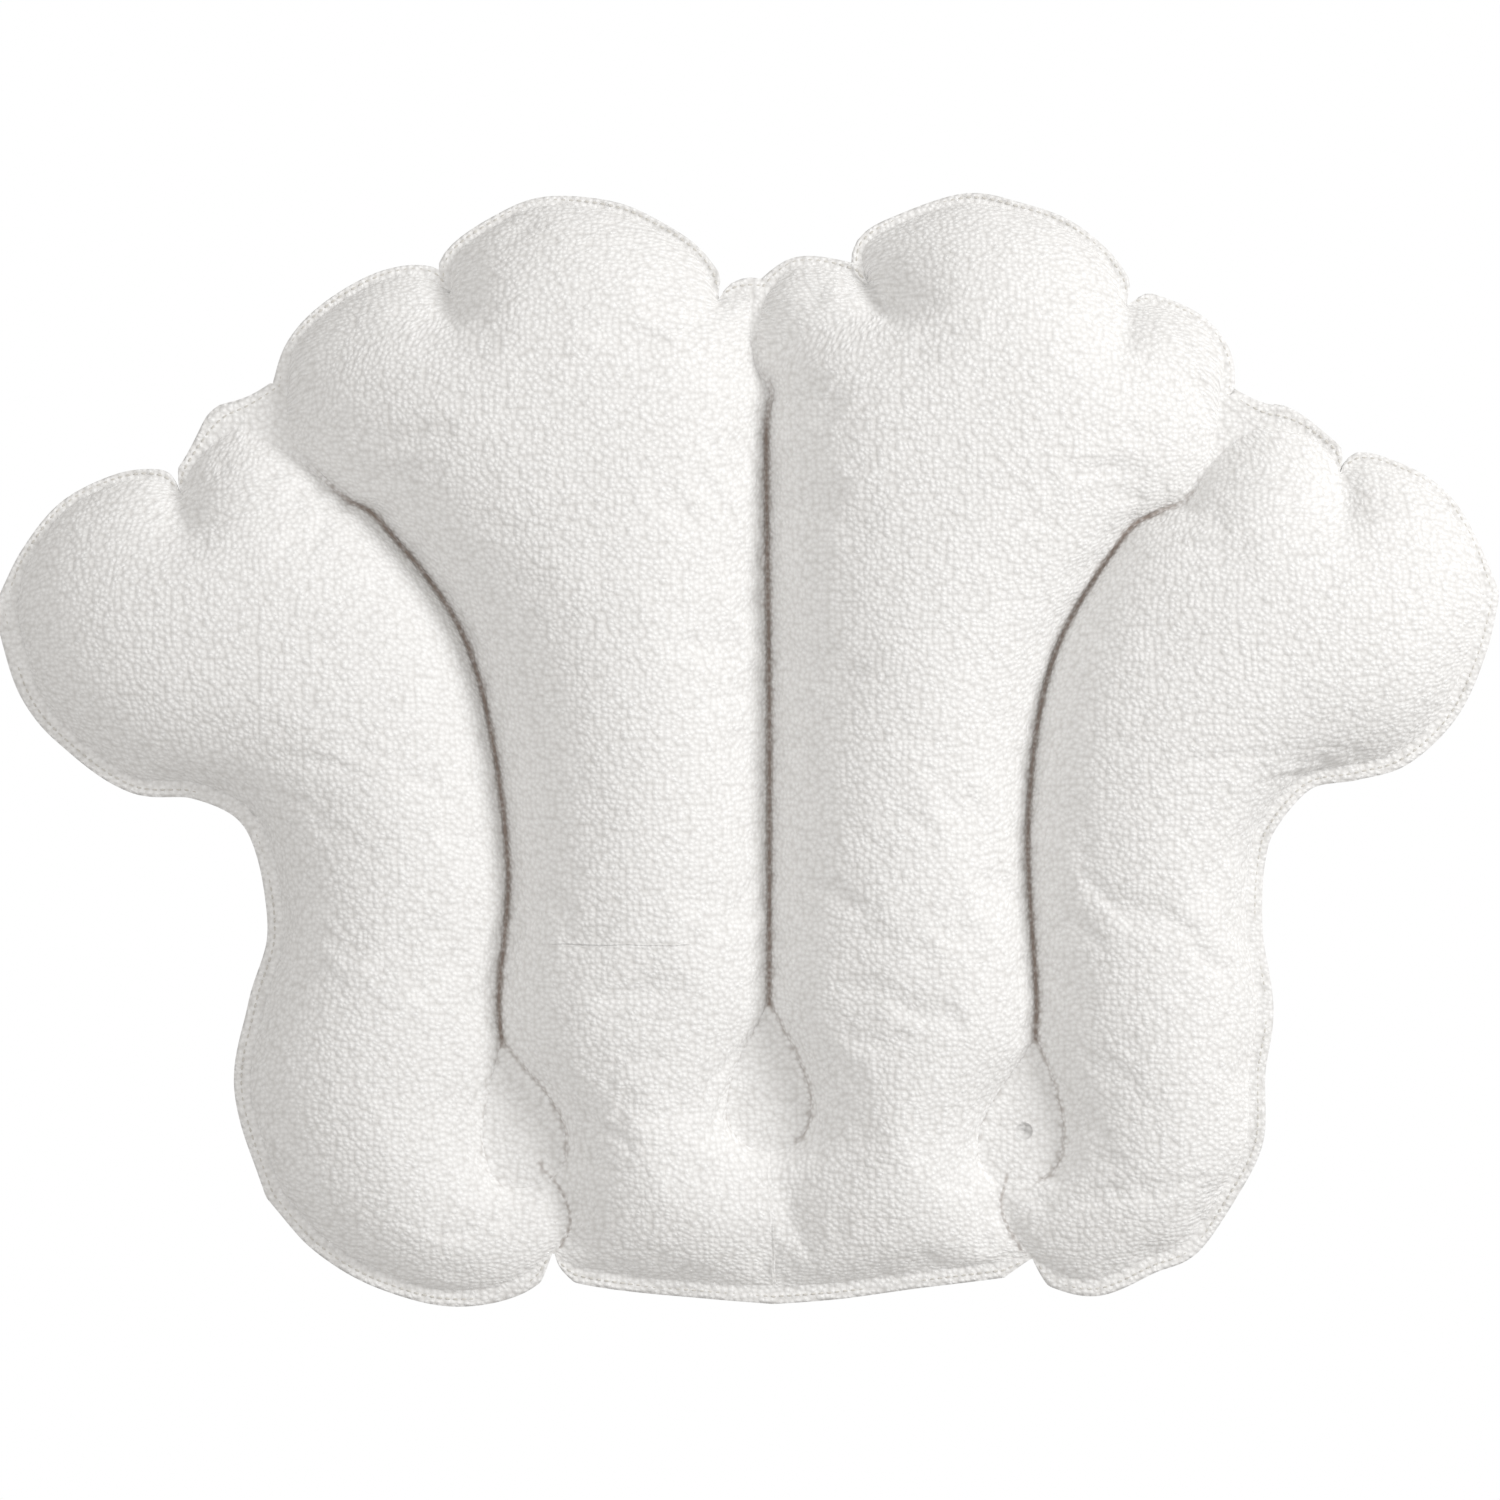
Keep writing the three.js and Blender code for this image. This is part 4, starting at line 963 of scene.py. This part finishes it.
# Suction cups: clear soft vinyl, moulded in one with a neck and a mushroom head that snaps into the patch.
# Two fine rings on the bell stiffen it, and the rim is a thin flat lip.
CUP_RADIUS, CUP_LIP, CUP_LIP_HEIGHT, CUP_HEIGHT, CUP_CROWN = 22.0, 1.6, 0.8, 11.0, 2.0
CUP_HUB, CUP_NECK, CUP_HEAD, HEAD_LEVEL, HEAD_HEIGHT = 7.0, 3.6, 6.4, 12.8, 3.0
HEAD_EDGE, HEAD_TAPER, HEAD_EASE = 1.4, 1.6, 0.5
LIP_EASE, LIP_EASE_HEIGHT = 0.2, 0.3
RIDGE_HEIGHT, RIDGE_BREADTH, RIDGE_PLACES = 0.3, 0.06, (0.45, 0.85)
CUP_SPOKES, BELL_STEPS = 72, 20
bell = np.linspace(0, math.pi / 2, BELL_STEPS)
ridge = RIDGE_HEIGHT * sum(np.exp(-(((bell - place) / RIDGE_BREADTH) ** 2)) for place in RIDGE_PLACES)
cup_inside = [((CUP_RADIUS - CUP_LIP) * math.cos(a), (CUP_HEIGHT - CUP_CROWN) * math.sin(a))
              for a in bell[:-1][::-1]]
cup_outside = [(CUP_HUB + (CUP_RADIUS - CUP_HUB + r) * math.cos(a),
                CUP_LIP_HEIGHT + (CUP_HEIGHT - CUP_LIP_HEIGHT + r) * math.sin(a))
               for a, r in zip(bell, ridge)]
cup_head = eased([
    (CUP_HUB, CUP_HEIGHT), (CUP_NECK, CUP_HEIGHT), (CUP_NECK, HEAD_LEVEL), (CUP_HEAD, HEAD_LEVEL),
    (CUP_HEAD, HEAD_LEVEL + HEAD_EDGE), (CUP_HEAD - HEAD_TAPER, HEAD_LEVEL + HEAD_HEIGHT),
    (0, HEAD_LEVEL + HEAD_HEIGHT)], HEAD_EASE, ring=False)
cup_profile = [(0, CUP_HEIGHT - CUP_CROWN), *cup_inside, (CUP_RADIUS - LIP_EASE, 0.0),
               (CUP_RADIUS, LIP_EASE_HEIGHT), *cup_outside, *cup_head[1:]]

clear_vinyl, shader, place = new_finish("clear soft vinyl", {
    "IOR": 1.5, "Transmission Weight": 0.92, "Specular IOR Level": 0.5})
haze = place.noise(210.0, 3.0)
feed(shader, "Base Color", haze.between((0.86, 0.90, 0.92, 1), (0.95, 0.97, 0.98, 1)))
feed(shader, "Roughness", 0.05 + haze * 0.16)
bumped = place.node("ShaderNodeBump", None, {"Strength": 0.12, "Distance": 0.0008, "Height": haze})
feed(shader, "Normal", bumped)
for number, (x, z) in enumerate(CUP_PLACES, 1):
    cup = turned(f"cup_{number}_bell", cup_profile, x, z, CUP_SPOKES, ring=False)
    cup.data.materials.append(clear_vinyl)
    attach(cup, f"cup_{number}")
    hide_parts(f"suction_cup_{number}")

# Air valve: a vinyl flange welded round the hole in the back, a thin skirt that folds when the stem is
# pushed in, the stem, a check flap at its inner end, and a plug on a strap.
FLANGE_PROFILE = [(8.4, 14.6), (15.4, 14.6), (15.4, 16.0), (8.4, 16.0)]
SKIRT_PROFILE = [(5.4, 11.9), (6.3, 12.4), (7.2, 13.9), (8.2, 15.0),
                 (8.2, 15.8), (7.0, 14.9), (6.1, 13.3), (5.4, 12.7)]
STEM_PROFILE = [(3.8, 6.1), (6.2, 6.1), (6.2, 7.7), (5.2, 7.7), (5.2, 22.1), (3.8, 22.1)]
FLAP_PROFILE = [(0, 22.4), (5.2, 22.4), (5.2, 23.2), (2.6, 23.2), (2.2, 23.0), (0, 23.0)]
PLUG_PROFILE = [(0, 4.2), (3.4, 4.2), (3.9, 3.8), (6.2, 3.8), (6.2, 5.8),
                (3.5, 5.8), (3.3, 8.6), (2.2, 10.8), (0, 10.8)]
VALVE_SPOKES, COLLAR_DASH_RADIUS = 56, 12.2
for name, profile, ease, ring, body, node, slot in (
        ("valve_collar", FLANGE_PROFILE, 0.6, True, "pillow", "valve_flange", "white_vinyl"),
        ("valve_fold", SKIRT_PROFILE, 0.35, True, "pillow", "valve_skirt", "white_vinyl"),
        ("valve_tube_stem", STEM_PROFILE, 0.4, True, "valve_tube", "valve_stem", "white_vinyl"),
        ("valve_check_flap", FLAP_PROFILE, 0.3, False, "flap", "valve_flap", "clear_vinyl"),
        ("valve_stopper", PLUG_PROFILE, 0.4, False, "plug", "valve_plug", "white_vinyl")):
    part = turned(name, eased(profile, ease, ring), VALVE_X, VALVE_Z, VALVE_SPOKES, ring)
    part.data.materials.append(clear_vinyl if slot == "clear_vinyl" else patch_vinyl)
    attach(part, body)
    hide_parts(node)
    if node == "valve_skirt":
        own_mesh(part)
collar_line = ring_line(VALVE_X, VALVE_Z, COLLAR_DASH_RADIUS, BRIM_DASH_LEVEL)
collar_teeth = dashed("valve_weld_marks", [collar_line], teeth, tooth_sizes)
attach(collar_teeth, "pillow")

# Plug strap: a flat vinyl loop from the plug's head up to the lip of the stem, moulded with the plug.
# It is narrower in its middle, and its section has eased corners.
STRAP_PATH = [(5.9, 4.6), (7.2, 4.45), (8.1, 4.9), (8.35, 5.9), (8.1, 6.8), (7.3, 7.25), (6.45, 7.2)]
STRAP_HALF_WIDTH, STRAP_HALF_THICKNESS, STRAP_WAIST, STRAP_STEPS = 1.7, 0.42, 0.25, 5
STRAP_SECTION = [(-1, -0.6), (-0.85, -1), (0.85, -1), (1, -0.6), (1, 0.6), (0.85, 1), (-0.85, 1), (-1, 0.6)]
strap_run = line_through(STRAP_PATH, STRAP_STEPS)
strap_side = left_of(np.gradient(strap_run, axis=0)) * STRAP_HALF_THICKNESS
waist = STRAP_HALF_WIDTH * (1 - STRAP_WAIST * np.sin(np.linspace(0, math.pi, len(strap_run))))
strap_points = []
for centre, side, half in zip(strap_run, strap_side, waist):
    for sx, sy in STRAP_SECTION:
        reach, height = centre + side * sy
        strap_points.append(((VALVE_X + sx * half) * MM, -height * MM, (VALVE_Z + reach) * MM))
loops = np.arange(len(strap_points)).reshape(len(strap_run), -1)
strap_faces = [face for low, high in zip(loops[:-1], loops[1:])
               for face in zip(low, np.roll(low, -1), np.roll(high, -1), high)]
strap_faces += [loops[0, ::-1], loops[-1]]
strap = outward(new_piece("valve_strap", strap_points, strap_faces))
strap.data.materials.append(patch_vinyl)
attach(strap, "plug")
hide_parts("valve_tether")
